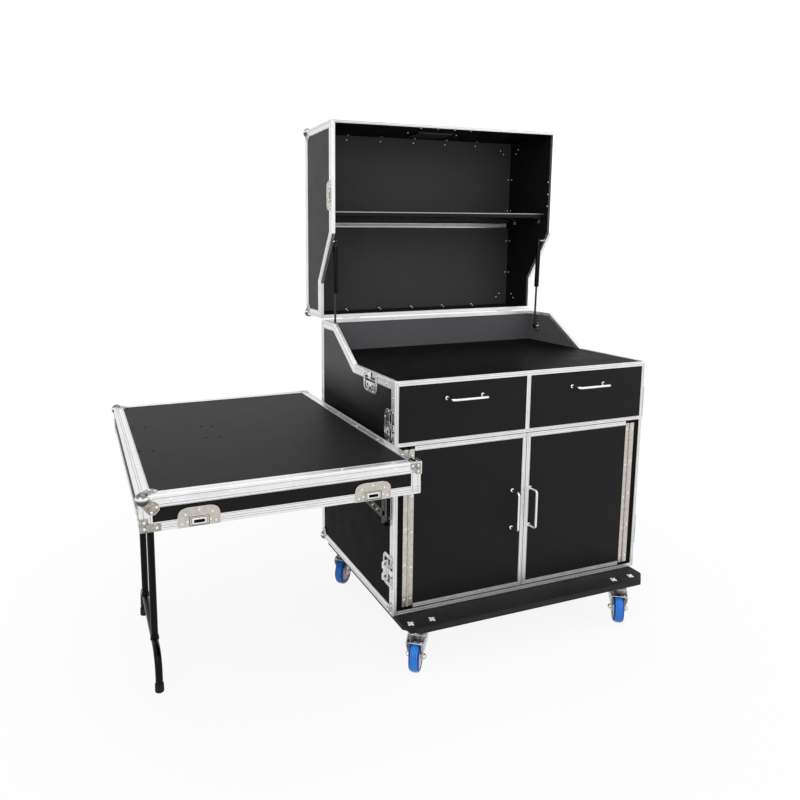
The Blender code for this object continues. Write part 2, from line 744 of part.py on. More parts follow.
def runner_channel(face_x, inwards):
    """A drawer runner's fixed channel on an upright face; inwards is +1 or -1 along X."""
    half = RUNNER_HEIGHT / 2
    lip = RUNNER_SPACE - 0.0035
    points = [
        (-0.0004, -half),
        (lip, -half),
        (lip, -half + RUNNER_WALL),
        (RUNNER_WALL, -half + RUNNER_WALL),
        (RUNNER_WALL, half - RUNNER_WALL),
        (lip, half - RUNNER_WALL),
        (lip, half),
        (-0.0004, half),
    ]
    outline = [(face_x + inwards * x, RUNNER_Z + z) for x, z in points]
    return prism(outline, "Y", RUNNER_START, RUNNER_START + RUNNER_LENGTH)


RUNNER_START = 0.020


def strut_bracket(x, inwards, place, tip, below=0.018, above=0.018):
    """A small plate on a side panel with a ball stud that reaches in to tip."""
    y, z = place
    ends = sorted((x - inwards * 0.0004, x + inwards * 0.002))
    plate = box((ends[0], y - 0.010, z - below), (ends[1], y + 0.010, z + above))
    reach = sorted((x + inwards * 0.001, tip))
    return fused([plate, cylinder((y, z), STRUT_STUD, "X", *reach, 10)])


STRUT_STUD = 0.0035


def swing_seat(y):
    """The plate, lugs and pin on the left side that a swing bracket turns on."""
    top, low = TABLE_RIM - FIT, TABLE_RIM - FIT - BRACKET_DROP
    plate = box((-0.0005, y - 0.011, low - 0.008), (SKIN + 0.0004, y + 0.011, top - 0.001))
    lugs = []
    for z in (low - 0.006, top - 0.0055):
        lugs.append(box((-BRACKET_PIN_X - SWING_LUG, y - SWING_LUG, z), (0.0005, y + SWING_LUG, z + 0.004)))
    pin = cylinder((-BRACKET_PIN_X, y), BRACKET_PIN_RADIUS, "Z", low - 0.004, top - 0.003, 8)
    return fused([plate, joined(lugs), pin])


def side_panel_mesh(side):
    """A side panel with its front stile, drawer runner and strut bracket; the left one carries the swing seats."""
    outline = inset(case_outline(), [SKIN] * 6)
    left = side == "left"
    edge = SKIN if left else CASE_WIDTH - SKIN
    inwards = 1 if left else -1
    inner = edge + inwards * PANEL
    panel = prism(outline, "X", *sorted((edge, inner)))
    stile_end = (HINGE_INSET - HINGE_BACK_GAP) if left else CASE_WIDTH - HINGE_INSET + HINGE_BACK_GAP
    stile_x = sorted((edge + inwards * PANEL / 2, stile_end))
    stile = box((stile_x[0], SKIN, FLOOR_TOP + FIT), (stile_x[1], INNER, DECK_LOW - FIT))
    stud_tip = STRUT_X - STRUT_EYE / 2 - 0.0005 if left else CASE_WIDTH - STRUT_X + STRUT_EYE / 2 + 0.0005
    shapes = [panel, stile, runner_channel(inner, inwards), strut_bracket(inner, inwards, STRUT_BASE, stud_tip)]
    if left:
        shapes += [swing_seat(y) for y in bracket_places()]
    return fused(shapes, [latch_cutters()])


HINGE_BACK_GAP = 0.004


def divider_mesh():
    """The upright between the drawers, with a runner channel on each face."""
    left, right = MIDDLE_X - DIVIDER_THICKNESS / 2, MIDDLE_X + DIVIDER_THICKNESS / 2
    panel = box((left, SKIN, DECK_TOP + FIT), (right, BACK_Y - FIT, WORKTOP_LOW - FIT))
    return fused([panel, runner_channel(left, -1), runner_channel(right, 1)])


def add_case(root, looks):
    inside, far = INNER + FIT, CASE_WIDTH - INNER - FIT
    black = looks["black_laminate"]
    piece("case_edging", case_edging_mesh(), looks["aluminium"], root)
    piece("case_side_left", side_panel_mesh("left"), black, root)
    piece("case_side_right", side_panel_mesh("right"), black, root)
    floor = box((inside, SKIN, BASE_Z + SKIN), (far, BACK_Y - FIT, FLOOR_TOP))
    piece("case_floor", floor, black, root)
    back = box((inside, BACK_Y, BASE_Z + SKIN), (far, CASE_DEPTH - SKIN, TOP_Z - SKIN))
    piece("case_back", back, black, root)
    deck = box((inside, SKIN, DECK_LOW), (far, BACK_Y - FIT, DECK_TOP))
    piece("drawer_deck", deck, black, root)
    piece("drawer_divider", divider_mesh(), black, root)
    rim = RIM_WIDTH + FIT
    top = box((rim, FRONT_CAP + FIT, WORKTOP_LOW), (CASE_WIDTH - rim, BACK_Y - FIT, WORKTOP_TOP))
    ledge = box((inside, EDGE_WALL + FIT, WORKTOP_LOW), (far, BACK_Y - FIT, RIM_Z - SKIN))
    piece("worktop", fused([ledge, top]), looks["black_worktop"], root)


# Drawers
def drawer_mesh(left, right):
    """An open drawer box with the runners' moving members on its sides."""
    low_z = DECK_TOP + DRAWER_GAP + 0.005
    high_z = low_z + DRAWER_BOX_HEIGHT
    near = DRAWER_FRONT_BACK + FIT
    far = near + DRAWER_BOX_DEPTH
    outer = box((left, near, low_z), (right, far, high_z))
    hollow = box((left + PANEL, near + PANEL, low_z + 0.006), (right - PANEL, far - PANEL, high_z + 0.01))
    half = RUNNER_HEIGHT / 2 - RUNNER_WALL - FIT
    slides = []
    for wall, outwards in ((left, -1), (right, 1)):
        ends = sorted((wall - outwards * 0.0004, wall + outwards * (RUNNER_SPACE - RUNNER_WALL - 0.0025)))
        low = (ends[0], RUNNER_START, RUNNER_Z - half)
        slides.append(box(low, (ends[1], RUNNER_START + RUNNER_LENGTH, RUNNER_Z + half)))
    return fused([outer, joined(slides)], [hollow])


DRAWER_FRONT_BACK = FIT + DECK_THICKNESS


def bar_pull(start, along, face_y):
    """A round bar pull that stands on a front face; start is its first foot and along its direction."""
    out = -Y * PULL_REACH
    foot = Vector((start[0], face_y - FIT, start[1]))
    other = foot + along * PULL_LENGTH
    return tube(rounded_path([foot, foot + out, other + out, other], PULL_BEND, 3), PULL_RADIUS, 2)


def add_drawers(root, looks):
    gap = DRAWER_GAP
    bays = (
        ("left", FRONT_LEG + gap, MIDDLE_X - DIVIDER_STRIP / 2 - gap, INNER, MIDDLE_X - DIVIDER_THICKNESS / 2),
        (
            "right",
            MIDDLE_X + DIVIDER_STRIP / 2 + gap,
            CASE_WIDTH - FRONT_LEG - gap,
            MIDDLE_X + DIVIDER_THICKNESS / 2,
            CASE_WIDTH - INNER,
        ),
    )
    for side, front_left, front_right, bay_left, bay_right in bays:
        body = joint_at("drawer_runner_" + side, ((front_left + front_right) / 2, 0, RUNNER_Z), root)
        front = box((front_left, FIT, DECK_TOP + gap), (front_right, DRAWER_FRONT_BACK, WORKTOP_LOW - gap))
        piece("drawer_front_" + side, rounded(front, 0.0008, 1), looks["black_laminate"], body)
        shell = drawer_mesh(bay_left + RUNNER_SPACE, bay_right - RUNNER_SPACE)
        piece("drawer_box_" + side, shell, looks["drawer_wood"], body)
        middle = (front_left + front_right) / 2
        start = (middle - PULL_LENGTH / 2, RIM_Z - DRAWER_PULL_DROP)
        piece("drawer_pull_" + side, bar_pull(start, X, FIT), looks["steel"], body)


# Doors
def hinge_leaf(side, frame):
    """One leaf of a piano hinge with its alternate knuckles, drawn for the left door and mirrored for the right."""
    low, high = DOOR_LOW + HINGE_END, DOOR_HIGH - HINGE_END
    axis_x, axis_y = HINGE_INSET, HINGE_AXIS_Y
    outwards = -1 if frame else 1
    near = axis_x + outwards * (HINGE_KNUCKLE + 0.0006)
    far = axis_x + outwards * HINGE_LEAF
    flat_low, flat_high = SKIN - FIT - HINGE_LEAF_THICKNESS, SKIN - FIT
    strip = box((min(near, far), flat_low, low), (max(near, far), flat_high, high))
    pitch = (high - low) / HINGE_KNUCKLES
    knuckles = []
    for i in range(0 if frame else 1, HINGE_KNUCKLES, 2):
        z0, z1 = low + i * pitch + FIT, low + (i + 1) * pitch - FIT
        outline = arc((axis_x, axis_y), HINGE_KNUCKLE, 0, 360, 8)[:-1]
        barrel = prism(outline, "Z", z0, z1)
        tab_x = sorted((axis_x + outwards * 0.0012, near + outwards * 0.001))
        tab = box((tab_x[0], flat_low + 0.0001, z0 + 0.0001), (tab_x[1], flat_high - 0.0001, z1 - 0.0001))
        knuckles.append(fused([barrel, tab]))
    leaf = fused([strip, joined(knuckles)])
    return leaf if side == "left" else mirrored(leaf)


def mirrored(mesh):
    """The mesh mirrored in the cabinet's middle plane."""
    flip = Matrix.Translation((CASE_WIDTH, 0, 0)) @ Matrix.Diagonal((-1, 1, 1, 1))
    copy = moved(mesh, flip)
    copy.flip_normals()
    return copy


HINGE_AXIS_Y = -0.0006
DOOR_LOW = BASE_Z + FRONT_BOTTOM_LEG + DOOR_GAP
DOOR_HIGH = DECK_LOW - DOOR_GAP


def door_panel_mesh(side):
    low = (HINGE_INSET + HINGE_BACK_GAP, SKIN, DOOR_LOW + SKIN)
    high = (MIDDLE_X - DOOR_GAP / 2 - SKIN, INNER, DOOR_HIGH - SKIN)
    panel = box(low, high)
    return panel if side == "left" else mirrored(panel)


def door_trim_mesh(side):
    """The channel round a door's top, meeting edge and bottom."""
    start = HINGE_INSET + HINGE_LEAF + 0.0015
    meet = MIDDLE_X - DOOR_GAP / 2
    back = INNER + SKIN
    outer = rounded(box((start, 0, DOOR_LOW), (meet, back, DOOR_HIGH)), 0.0006, 1)
    inner = box(
        (start - 0.01, EDGE_WALL, DOOR_LOW + EDGE_WALL),
        (meet - EDGE_WALL, back - EDGE_WALL, DOOR_HIGH - EDGE_WALL),
    )
    window = box(
        (start - 0.01, -0.01, DOOR_LOW + DOOR_TRIM),
        (meet - DOOR_TRIM, back + 0.01, DOOR_HIGH - DOOR_TRIM),
    )
    trim = fused([outer], [inner, window])
    return trim if side == "left" else mirrored(trim)


def add_doors(root, looks):
    for side in ("left", "right"):
        x = HINGE_INSET if side == "left" else CASE_WIDTH - HINGE_INSET
        body = joint_at("door_hinge_axis_" + side, (x, HINGE_AXIS_Y, (DOOR_LOW + DOOR_HIGH) / 2), root)
        piece("door_hinge_frame_leaf_" + side, hinge_leaf(side, True), looks["nickel"], root)
        piece("door_hinge_door_leaf_" + side, hinge_leaf(side, False), looks["nickel"], body)
        piece("door_panel_" + side, door_panel_mesh(side), looks["black_laminate"], body)
        piece("door_trim_" + side, door_trim_mesh(side), looks["aluminium"], body)
        trim_edge = MIDDLE_X + DOOR_GAP / 2 + DOOR_TRIM
        pull_x = MIDDLE_X - DOOR_PULL_INSET if side == "left" else trim_edge + PULL_RADIUS + 0.0015
        start = (pull_x, BASE_Z + DOOR_PULL_HEIGHT - PULL_LENGTH / 2)
        piece("door_pull_" + side, bar_pull(start, Z, SKIN), looks["steel"], body)


# Lid
def lid_edging_mesh():
    """The lid's aluminium angles, capped rims, ball corners, latch keepers and hinge leaves, drawn closed."""
    outline = lid_outline()
    out, wall = 0.02, EDGE_WALL + 0.001
    side_window = prism(inset(outline, [SIDE_LEG] * 6), "X", -out, CASE_WIDTH + out)
    front, rear, top = -COVER_DEPTH, CASE_DEPTH, TOP_Z + LID_HEIGHT
    leg, far = SIDE_LEG, CASE_WIDTH - SIDE_LEG
    windows = [
        side_window,
        box((leg, front - out, RIM_Z + leg), (far, front + wall, top - leg)),
        box((leg, rear - wall, TOP_Z + leg), (far, rear + out, top - leg)),
        box((leg, front + leg, top - wall), (far, rear - leg, top + out)),
        box((RIM_WIDTH, front + RIM_WIDTH, RIM_Z - out), (CASE_WIDTH - RIM_WIDTH, rear - RIM_WIDTH, TOP_Z + 0.05)),
    ]
    shapes, cutters = edge_shell(outline, windows)
    frame = fused(shapes, cutters)
    band = rim_band(outline, [0, 1, 2], [3, 5])
    lips = [prism(band, "X", x, x + EDGE_WALL) for x in (RIM_WIDTH - EDGE_WALL, CASE_WIDTH - RIM_WIDTH)]
    cross = []
    inside = RIM_WIDTH - EDGE_WALL / 2
    for y, z in ((front + RIM_WIDTH - EDGE_WALL, RIM_Z), (rear - RIM_WIDTH, TOP_Z)):
        low = (inside, y, z + LID_SEAT + EDGE_WALL / 2)
        cross.append(box(low, (CASE_WIDTH - inside, y + EDGE_WALL, z + LID_SEAT + RIM_LIP)))
    plates, slots = [], []
    for name, place, _, _ in latch_places():
        if name.startswith("counter"):
            plate, slot = keeper_mesh(place @ Matrix.Translation((0, -LID_SEAT, 0)))
            plates.append(plate)
            slots.append(slot)
    corners = []
    for x, sx in ((0, 1), (CASE_WIDTH, -1)):
        for y, sy in ((front, 1), (rear, -1)):
            corners.append(ball_corner((x, y, top), (sx, sy, -1)))
    layers = [joined(group) for group in zip(*corners)]
    extras = [joined(lips), joined(cross), joined(plates), lid_hinge_leaves(base=False), *layers]
    return fused([frame, *extras], [joined(slots)])


def lid_shell_mesh():
    """The lid's panels as one box, open at the rim, with the strut brackets and the handle's cut-out."""
    outline = inset(lid_outline(), [SKIN] * 6)
    outer = prism(outline, "X", SKIN, CASE_WIDTH - SKIN)
    inner = inset(outline, [-0.02, -0.02, -0.02, PANEL, PANEL, PANEL])
    hollow = prism(inner, "X", INNER, CASE_WIDTH - INNER)
    brackets = []
    place = closed_place(STRUT_TOP)
    for x, inwards in ((INNER, 1), (CASE_WIDTH - INNER, -1)):
        tip = x + inwards * (STRUT_X - INNER + STRUT_EYE / 2 + 0.001)
        brackets.append(strut_bracket(x, inwards, place, tip, -0.001, 0.029))
    shell = fused([outer], [hollow])
    return fused([shell, joined(brackets)], [handle_pan(0.0006, -0.02, 0.03)])


def closed_place(point):
    """Where an open lid's (y, z) point lies when the lid is closed."""
    y, z = point[0] - LID_AXIS.y, point[1] - LID_AXIS.z
    return LID_AXIS.y - z, LID_AXIS.z + y


HANDLE_Z = RIM_Z + 0.160
HANDLE_PLATE = (0.196, 0.140)
HANDLE_PAN = (0.150, 0.094)
HANDLE_DEPTH = 0.0135
BAIL_RADIUS = 0.004
BAIL_SPAN = 0.110
BAIL_DROP = 0.052


def handle_pan(grow, front, depth):
    """A box over the handle's pan, from front to depth behind the lid's front panel."""
    half_w, half_h = HANDLE_PAN[0] / 2 + grow, HANDLE_PAN[1] / 2 + grow
    face = -COVER_DEPTH + SKIN
    low = (MIDDLE_X - half_w, face + front, HANDLE_Z - half_h)
    return box(low, (MIDDLE_X + half_w, face + depth, HANDLE_Z + half_h))


def handle_dish_mesh():
    """The recessed dish of the lid's lifting handle, with the two ears that hold its bail."""
    face = -COVER_DEPTH + SKIN - FIT
    half_w, half_h = HANDLE_PLATE[0] / 2, HANDLE_PLATE[1] / 2
    cut = 0.014
    points = [
        (-half_w + cut, -half_h),
        (half_w - cut, -half_h),
        (half_w, -half_h + cut),
        (half_w, half_h - cut),
        (half_w - cut, half_h),
        (-half_w + cut, half_h),
        (-half_w, half_h - cut),
        (-half_w, -half_h + cut),
    ]
    plate = prism([(MIDDLE_X + x, HANDLE_Z + z) for x, z in points], "Y", face - 0.0014, face)
    pan = handle_pan(0, -0.001, HANDLE_DEPTH)
    hollow = handle_pan(-0.0015, -0.01, HANDLE_DEPTH - 0.0015)
    ears = []
    for sign in (-1, 1):
        inner = MIDDLE_X + sign * (BAIL_SPAN / 2 + BAIL_RADIUS + FIT)
        outer = inner + sign * 0.006
        x0, x1 = sorted((inner, outer))
        low = (x0, face + 0.0014, BAIL_AXIS_Z - 0.006)
        ears.append(box(low, (x1, face + HANDLE_DEPTH - 0.0008, BAIL_AXIS_Z + 0.006)))
    return fused([plate, pan], [hollow]), joined(ears)


BAIL_AXIS_Z = HANDLE_Z + HANDLE_PAN[1] / 2 - 0.014
BAIL_AXIS_Y = -COVER_DEPTH + SKIN + 0.0065


def bail_mesh():
    """The handle's round bail, hanging flat in its pan."""
    half = BAIL_SPAN / 2
    top = Vector((0, BAIL_AXIS_Y, BAIL_AXIS_Z))
    left = top + X * (MIDDLE_X - half)
    right = top + X * (MIDDLE_X + half)
    down = -Z * BAIL_DROP
    return tube(rounded_path([left, left + down, right + down, right], 0.012, 4), BAIL_RADIUS, 2)


def add_lid(root, looks):
    swing = Matrix.Rotation(-LID_OPEN, 4, "X")
    lid = joint_at("lid_hinge_axis", LID_AXIS, root, swing.to_quaternion())
    black = looks["black_laminate"]
    piece("lid_edging", lid_edging_mesh(), looks["aluminium"], lid)
    piece("lid_shell", lid_shell_mesh(), black, lid)
    shelf_y = LID_AXIS.y - SHELF_FROM_HINGE
    inside, far = INNER + FIT, CASE_WIDTH - INNER - FIT
    roof = TOP_Z + LID_HEIGHT - INNER - FIT
    low = (inside, shelf_y - SHELF_THICKNESS, RIM_Z + SHELF_SETBACK)
    piece("lid_shelf", rounded(box(low, (far, shelf_y, roof)), 0.001, 1), black, lid)
    bar_y = shelf_y + LIGHT_BAR_DROP
    low = (inside + LIGHT_BAR_END, bar_y, roof - LIGHT_BAR_DEPTH)
    bar = rounded(box(low, (far - LIGHT_BAR_END, bar_y + LIGHT_BAR_HEIGHT, roof)), 0.003, 2)
    piece("lid_light_bar", bar, looks["aluminium"], lid)
    dish, ears = handle_dish_mesh()
    piece("lid_handle_dish", fused([dish, ears]), looks["zinc"], lid)
    return lid


def add_bail(lid, looks):
    """The bail hangs on its own axis, which the open lid carries."""
    bpy.context.view_layer.update()
    local = Vector((MIDDLE_X, BAIL_AXIS_Y, BAIL_AXIS_Z)) - LID_AXIS
    body = bpy.data.objects.new("lid_handle_axis", None)
    bpy.context.scene.collection.objects.link(body)
    body.parent = lid
    body.location = local
    mesh = moved(bail_mesh(), Matrix.Translation(-LID_AXIS))
    piece("lid_handle_bail", mesh, looks["zinc"], body)


# Gas struts
def strut_parts():
    """The strut's tube and rod, hanging down from the lid's stud at the origin."""
    length = (Vector(STRUT_TOP) - Vector(STRUT_BASE)).length
    half = STRUT_EYE / 2
    bore = STRUT_ROD_RADIUS + 0.0006
    profile = [
        (bore, -STRUT_TUBE),
        (STRUT_RADIUS - 0.001, -STRUT_TUBE),
        (STRUT_RADIUS, -STRUT_TUBE + 0.001),
        (STRUT_RADIUS, -0.021),
        (STRUT_RADIUS - 0.002, -0.018),
        (0.0005, -0.018),
        (0.0005, -0.022),
        (bore, -0.026),
    ]
    outer = turned(profile, 14)
    neck = cylinder((0, 0), 0.005, "Z", -0.0205, -0.004, 10)
    eye = cylinder((0, 0), 0.0075, "X", -half, half, 12)
    hole = cylinder((0, 0), STRUT_STUD + FIT, "X", -0.02, 0.02, 10)
    tube_part = fused([outer, neck, eye], [hole])
    rod_top = -STRUT_TUBE + 0.012
    rod = cylinder((0, 0), STRUT_ROD_RADIUS, "Z", -length + 0.003, rod_top, 10)
    end = cylinder((0, -length), 0.0075, "X", -half, half, 12)
    return tube_part, fused([rod, end])


def add_struts(root, lid, looks):
    tube_part, rod_part = strut_parts()
    top, base = Vector((0, *STRUT_TOP)), Vector((0, *STRUT_BASE))
    lean = (-Z).rotation_difference((base - top).normalized()).to_matrix().to_4x4()
    for side, x in (("left", STRUT_X), ("right", CASE_WIDTH - STRUT_X)):
        at = Vector((x, *STRUT_TOP))
        place = Matrix.Translation(at) @ lean
        body = joint_at("strut_pivot_" + side, at, lid)
        piece("strut_cylinder_" + side, moved(tube_part, place), looks["black_metal"], body)
        slide = joint_at("strut_slide_" + side, at, body)
        piece("strut_rod_" + side, moved(rod_part, place), looks["steel"], slide)


# Front cover, hung as a side table
def cover_edging_mesh():
    """The cover's aluminium angles, ball corners, flat corner brackets and latch keepers."""
    low, high = (TABLE_LEFT, TABLE_NEAR, TABLE_RIM), (TABLE_RIGHT, TABLE_FAR, TABLE_HEIGHT)
    outer = rounded(box(low, high), EDGE_ROUND)
    wall = Vector((EDGE_WALL, EDGE_WALL, EDGE_WALL))
    inner = box(Vector(low) + wall, Vector(high) - wall)
    out, deep, leg, rim = 0.02, EDGE_WALL + 0.001, COVER_LEG, COVER_RIM_LEG
    inside = RIM_WIDTH
    near_far = ((TABLE_NEAR - out, TABLE_NEAR + deep), (TABLE_FAR - deep, TABLE_FAR + out))
    ends = ((TABLE_LEFT - out, TABLE_LEFT + deep), (TABLE_RIGHT - deep, TABLE_RIGHT + out))
    floor, roof = TABLE_RIM + rim, TABLE_HEIGHT - leg
    windows = [
        box((TABLE_LEFT + leg, TABLE_NEAR + leg, TABLE_HEIGHT - deep), (TABLE_RIGHT - leg, TABLE_FAR - leg, 1)),
        box(
            (TABLE_LEFT + inside, TABLE_NEAR + inside, TABLE_RIM - out),
            (TABLE_RIGHT - inside, TABLE_FAR - inside, TABLE_RIM + deep),
        ),
        joined([box((TABLE_LEFT + leg, a, floor), (TABLE_RIGHT - leg, b, roof)) for a, b in near_far]),
        joined([box((a, TABLE_NEAR + leg, floor), (b, TABLE_FAR - leg, roof)) for a, b in ends]),
    ]
    frame = fused([outer], [inner, *windows])
    plates, slots = [], []
    for along in (UPPER_LATCH_DROP, CASE_HEIGHT - LOWER_LATCH_RISE):
        for y, side in ((TABLE_NEAR, -1), (TABLE_FAR, 1)):
            out_way = Y * side
            place = frame_matrix(Vector((TABLE_RIGHT - along, y, TABLE_RIM)), (-Z).cross(out_way), -Z, out_way)
            plate, slot = keeper_mesh(place)
            plates.append(plate)
            slots.append(slot)
    corners, flats = [], []
    for y, sign in ((TABLE_NEAR, 1), (TABLE_FAR, -1)):
        corners.append(ball_corner((TABLE_LEFT, y, TABLE_HEIGHT), (1, sign, -1)))
        flats.append(corner_plates((TABLE_RIGHT, y, TABLE_HEIGHT), (-1, sign, -1), bracket_outline(0.034, 0.016)))
    layers = [joined(group) for group in zip(*corners)] + [joined(group) for group in zip(*flats)]
    return fused([frame, joined(plates), *layers], [joined(slots)])


def cover_shell_mesh():
    """The cover's panels as one tray, open below, with the blocks that hold the leg's pivot."""
    skin, wall = Vector((SKIN, SKIN, SKIN)), Vector((PANEL, PANEL, PANEL))
    low = Vector((TABLE_LEFT, TABLE_NEAR, TABLE_RIM)) + skin
    high = Vector((TABLE_RIGHT, TABLE_FAR, TABLE_HEIGHT)) - skin
    hollow_low = low + wall
    hollow_low.z = TABLE_RIM - 0.02
    blocks, bores = [], []
    ceiling = high.z - PANEL
    axis = (TABLE_LEFT + LEG_X, TABLE_HEIGHT - LEG_PIVOT_DROP)
    for sign in (-1, 1):
        inner = LEG_Y + sign * (LEG_SPREAD + LEG_RADIUS + 0.002)
        y0, y1 = sorted((inner, inner + sign * LEG_BLOCK))
        blocks.append(box((axis[0] - 0.024, y0, axis[1] - 0.014), (axis[0] + 0.024, y1, ceiling + 0.0005)))
        bores.append(cylinder(axis, LEG_PIN_RADIUS + FIT, "Y", y0 - 0.01, y1 + 0.01, 12))
    tray = fused([box(low, high)], [box(hollow_low, high - wall)])
    return fused([tray, joined(blocks)], [joined(bores)])


def table_leg_mesh():
    """Two uprights on a bent foot hoop, with a pivot tube across the top."""
    x, top = TABLE_LEFT + LEG_X, TABLE_HEIGHT - LEG_PIVOT_DROP
    left, right = LEG_Y - LEG_FOOT_SPREAD, LEG_Y + LEG_FOOT_SPREAD
    corners = [(x, left, 0), (x, left, LEG_CROSSBAR), (x, right, LEG_CROSSBAR), (x, right, 0)]
    hoop = tube(rounded_path(corners, LEG_BEND, 5), LEG_RADIUS, 3)
    uprights = []
    for sign in (-1, 1):
        y = LEG_Y + sign * LEG_SPREAD
        uprights.append(cylinder((x, y), LEG_RADIUS, "Z", LEG_CROSSBAR, top, 12))
    end = LEG_SPREAD + LEG_RADIUS + 0.002 + LEG_BLOCK - 0.001
    pin = cylinder((x, top), LEG_PIN_RADIUS, "Y", LEG_Y - end, LEG_Y + end, 12)
    return fused([hoop, joined(uprights), pin])


def add_cover(root, looks):
    body = joint_at("cover_lift", (TABLE_RIGHT, TABLE_NEAR, TABLE_RIM), root)
    piece("cover_edging", cover_edging_mesh(), looks["aluminium"], body)
    piece("cover_shell", cover_shell_mesh(), looks["black_laminate"], body)
    pivot = (TABLE_LEFT + LEG_X, LEG_Y, TABLE_HEIGHT - LEG_PIVOT_DROP)
    leg = joint_at("table_leg_axis", pivot, body)
    piece("table_leg", table_leg_mesh(), looks["black_metal"], leg)


# Swing brackets
def bracket_places():
    return (BRACKET_FRONT_Y, CASE_DEPTH - BRACKET_REAR_INSET)


def bracket_mesh(y):
    """A triangular arm with a pierced brace, on a sleeve that turns round the pin."""
    top, low = TABLE_RIM - FIT, TABLE_RIM - FIT - BRACKET_DROP
    near = -BRACKET_PIN_X - BRACKET_SLEEVE + 0.001
    far = -BRACKET_REACH
    bar = BRACKET_BAR
    toe = top - bar * 0.6
    plate = prism(
        [(near, low), (near, top), (far, top), (far, toe)],
        "Y",
        y - BRACKET_THICKNESS / 2,
        y + BRACKET_THICKNESS / 2,
    )
    brace_end = near + (far - near) * (top - low) / (toe - low)
    triangle = [(near, low), (near, top), (brace_end, top)]
    hollow = prism(inset(triangle, [bar, bar, bar * 0.55]), "Y", y - 0.01, y + 0.01)
    sleeve_low, sleeve_high = low - 0.006 + 0.004 + FIT, top - 0.0055 - FIT
    sleeve = cylinder((-BRACKET_PIN_X, y), BRACKET_SLEEVE, "Z", sleeve_low, sleeve_high, 12)
    bore = cylinder((-BRACKET_PIN_X, y), BRACKET_PIN_RADIUS + FIT, "Z", low - 0.02, top + 0.02, 12)
    clear = -BRACKET_PIN_X - SWING_LUG * 1.5
    relief = box((clear, y - 0.01, top - 0.0055 - FIT), (0.001, y + 0.01, top + 0.01))
    return fused([plate, sleeve], [hollow, bore, relief])


def add_brackets(root, looks):
    for name, y in zip(("front", "rear"), bracket_places()):
        body = joint_at("table_bracket_axis_" + name, (-BRACKET_PIN_X, y, TABLE_RIM - BRACKET_DROP), root)
        piece("table_bracket_" + name, bracket_mesh(y), looks["zinc"], body)


def centre_over_origin(root):
    """Moves the object so that its box is centred over the origin."""
    bpy.context.view_layer.update()
    xs, ys = [], []
    for item in bpy.data.objects:
        if item.type != "MESH":
            continue
        for vertex in item.data.vertices:
            world = item.matrix_world @ vertex.co
            xs.append(world.x)
            ys.append(world.y)
    root.location = (-(min(xs) + max(xs)) / 2, -(min(ys) + max(ys)) / 2, 0)


def main():
    clear_scene()
    looks = {
        "black_laminate": material("black_laminate", (0.020, 0.020, 0.021), 0.55),
        "black_worktop": material("black_worktop", (0.012, 0.012, 0.012), 0.45),
        "black_board": material("black_board", (0.018, 0.018, 0.018), 0.6),
        "black_metal": material("black_metal", (0.012, 0.012, 0.013), 0.3),
        "drawer_wood": material("drawer_wood", (0.030, 0.028, 0.026), 0.6),
        "aluminium": material("aluminium", (0.80, 0.81, 0.82), 0.32, 1.0),
        "steel": material("steel", (0.66, 0.65, 0.62), 0.25, 1.0),
        "zinc": material("zinc", (0.70, 0.70, 0.70), 0.28, 1.0),
        "nickel": material("nickel", (0.68, 0.65, 0.59), 0.35, 1.0),
        "blue_wheel": material("blue_wheel", (0.010, 0.090, 0.50), 0.4),
    }
    root = joint_at("case_origin", (0, 0, 0))
    add_castors(root, looks)
    add_case(root, looks)
    add_drawers(root, looks)
    add_doors(root, looks)
    lid = add_lid(root, looks)
    add_bail(lid, looks)
    add_struts(root, lid, looks)
    add_latches(root, looks)
    add_cover(root, looks)
    add_brackets(root, looks)
    centre_over_origin(root)


main()
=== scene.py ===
"""The finish of a coffee bar flight case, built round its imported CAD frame. Metres, +Z up."""

import math

import bmesh
import bpy
from mathutils import Matrix, Vector


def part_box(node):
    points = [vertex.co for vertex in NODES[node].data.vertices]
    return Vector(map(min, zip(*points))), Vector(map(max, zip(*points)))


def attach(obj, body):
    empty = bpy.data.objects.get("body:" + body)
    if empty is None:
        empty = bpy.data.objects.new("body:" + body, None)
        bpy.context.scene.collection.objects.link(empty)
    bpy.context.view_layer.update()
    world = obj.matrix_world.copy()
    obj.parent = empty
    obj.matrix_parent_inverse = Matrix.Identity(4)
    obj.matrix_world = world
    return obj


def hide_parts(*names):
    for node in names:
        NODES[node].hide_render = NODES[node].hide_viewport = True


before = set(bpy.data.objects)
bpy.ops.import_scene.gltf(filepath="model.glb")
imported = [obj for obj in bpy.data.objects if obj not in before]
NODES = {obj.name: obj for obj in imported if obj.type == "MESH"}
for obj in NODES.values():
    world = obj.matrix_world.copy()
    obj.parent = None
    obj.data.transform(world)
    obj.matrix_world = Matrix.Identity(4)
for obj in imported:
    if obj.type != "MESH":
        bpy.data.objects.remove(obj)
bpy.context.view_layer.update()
X, Y, Z = Vector((1, 0, 0)), Vector((0, 1, 0)), Vector((0, 0, 1))

# Measures of the cabinet: x from its left face, y from its front face, z from the floor
WIDTH, DEPTH = 0.960, 0.630
BASE_Z, RIM_Z, TOP_Z = 0.1463, 0.8963, 1.0163
SLOPE_Y, FLAT_Y = 0.310, 0.495
DECK_LOW, DECK_TOP = 0.6928, 0.7048
WORKTOP_LOW = 0.8810
MIDDLE = WIDTH / 2
LEG = 0.028
PANEL_IN = 0.0108
RIM_IN = 0.0126

# The open lid: its hinge axis, its top, back and bottom faces, its rim planes and where its slope runs
LID_AXIS_Y = 0.635
LID_TOP, LID_BACK, LID_LOW = 1.7413, 0.805, 1.0213
LID_DEEP_Y, LID_SHALLOW_Y = 0.516, 0.636
LID_SLOPE_TOP, LID_SLOPE_LOW = 1.3413, 1.1563

